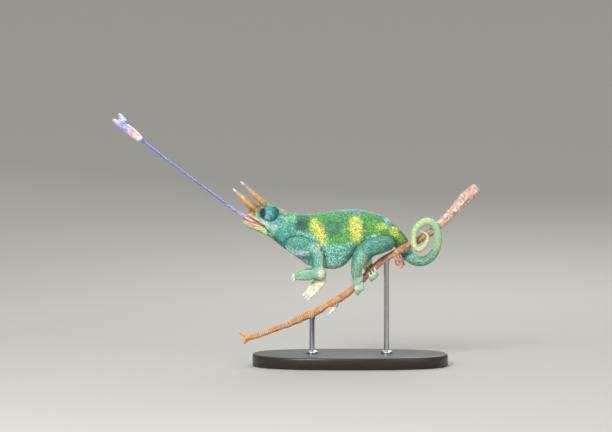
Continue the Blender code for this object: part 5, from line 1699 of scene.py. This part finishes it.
class CHAMELEON_OT_skin(bpy.types.Operator):
    """Make the animal's skin"""

    bl_idname = "chameleon.skin"
    bl_label = "Skin"
    bl_options = {"REGISTER", "UNDO"}

    def execute(self, context):
        make_skin(context.scene.chameleon_skin)
        return {"FINISHED"}


class CHAMELEON_OT_scales(bpy.types.Operator):
    """Grow the scales on the skin"""

    bl_idname = "chameleon.scales"
    bl_label = "Scales"
    bl_options = {"REGISTER", "UNDO"}

    def execute(self, context):
        make_coats(context.scene.chameleon_scales)
        return {"FINISHED"}


class CHAMELEON_OT_rows(bpy.types.Operator):
    """Set the crests, lips and rims of large scales"""

    bl_idname = "chameleon.rows"
    bl_label = "Rows"
    bl_options = {"REGISTER", "UNDO"}

    def execute(self, context):
        make_rows(context.scene.chameleon_scales)
        return {"FINISHED"}


class CHAMELEON_OT_horns(bpy.types.Operator):
    """Make the three horns"""

    bl_idname = "chameleon.horns"
    bl_label = "Horns"
    bl_options = {"REGISTER", "UNDO"}

    def execute(self, context):
        make_horns(context.scene.chameleon_horns)
        return {"FINISHED"}


class CHAMELEON_OT_eyes(bpy.types.Operator):
    """Make the eyeballs"""

    bl_idname = "chameleon.eyes"
    bl_label = "Eyes"
    bl_options = {"REGISTER", "UNDO"}

    def execute(self, context):
        make_eyes(context.scene.chameleon_eyes)
        return {"FINISHED"}


class CHAMELEON_OT_claws(bpy.types.Operator):
    """Make the claws"""

    bl_idname = "chameleon.claws"
    bl_label = "Claws"
    bl_options = {"REGISTER", "UNDO"}

    def execute(self, context):
        make_claws(context.scene.chameleon_claws)
        return {"FINISHED"}


class CHAMELEON_OT_tongue(bpy.types.Operator):
    """Make the tongue"""

    bl_idname = "chameleon.tongue"
    bl_label = "Tongue"
    bl_options = {"REGISTER", "UNDO"}

    def execute(self, context):
        make_tongue(context.scene.chameleon_tongue)
        return {"FINISHED"}


class CHAMELEON_OT_perch(bpy.types.Operator):
    """Make the perch"""

    bl_idname = "chameleon.perch"
    bl_label = "Perch"
    bl_options = {"REGISTER", "UNDO"}

    def execute(self, context):
        make_perch(context.scene.chameleon_perch)
        return {"FINISHED"}


class CHAMELEON_OT_stand(bpy.types.Operator):
    """Make the display stand"""

    bl_idname = "chameleon.stand"
    bl_label = "Stand"
    bl_options = {"REGISTER", "UNDO"}

    def execute(self, context):
        make_stand(context.scene.chameleon_stand)
        return {"FINISHED"}


class CHAMELEON_OT_stage(bpy.types.Operator):
    """Set up floor, light and camera"""

    bl_idname = "chameleon.stage"
    bl_label = "Stage"
    bl_options = {"REGISTER", "UNDO"}

    def execute(self, context):
        make_stage(context.scene.chameleon_stage)
        return {"FINISHED"}


OPERATORS = (
    CHAMELEON_OT_skin,
    CHAMELEON_OT_scales,
    CHAMELEON_OT_rows,
    CHAMELEON_OT_horns,
    CHAMELEON_OT_eyes,
    CHAMELEON_OT_claws,
    CHAMELEON_OT_tongue,
    CHAMELEON_OT_perch,
    CHAMELEON_OT_stand,
    CHAMELEON_OT_stage,
)
SETTINGS = {
    "chameleon_skin": SkinSettings,
    "chameleon_scales": ScaleSettings,
    "chameleon_horns": HornSettings,
    "chameleon_eyes": EyeSettings,
    "chameleon_claws": ClawSettings,
    "chameleon_tongue": TongueSettings,
    "chameleon_perch": PerchSettings,
    "chameleon_stand": StandSettings,
    "chameleon_stage": StageSettings,
}


class CHAMELEON_PT_figure(bpy.types.Panel):
    """Lists the figure's pieces in the sidebar."""

    bl_label = "Chameleon figure"
    bl_idname = "CHAMELEON_PT_figure"
    bl_space_type = "VIEW_3D"
    bl_region_type = "UI"
    bl_category = "Chameleon"

    def draw(self, context):
        for operator in OPERATORS:
            self.layout.operator(operator.bl_idname)
        for name, cls in SETTINGS.items():
            column = self.layout.column()
            for key in cls.__annotations__:
                column.prop(getattr(context.scene, name), key)


def register():
    """Registers the classes and hangs the settings on the scene."""
    for cls in (*SETTINGS.values(), *OPERATORS, CHAMELEON_PT_figure):
        bpy.utils.register_class(cls)
    for name, cls in SETTINGS.items():
        setattr(bpy.types.Scene, name, PointerProperty(type=cls))


def unregister():
    """Takes the settings and the classes away again."""
    for name in SETTINGS:
        delattr(bpy.types.Scene, name)
    for cls in (CHAMELEON_PT_figure, *reversed(OPERATORS), *reversed(SETTINGS.values())):
        bpy.utils.unregister_class(cls)


def main():
    """Registers the classes and makes every piece."""
    register()
    for operator in OPERATORS:
        getattr(bpy.ops.chameleon, operator.bl_idname.split(".")[1])()


if __name__ == "__main__":
    main()
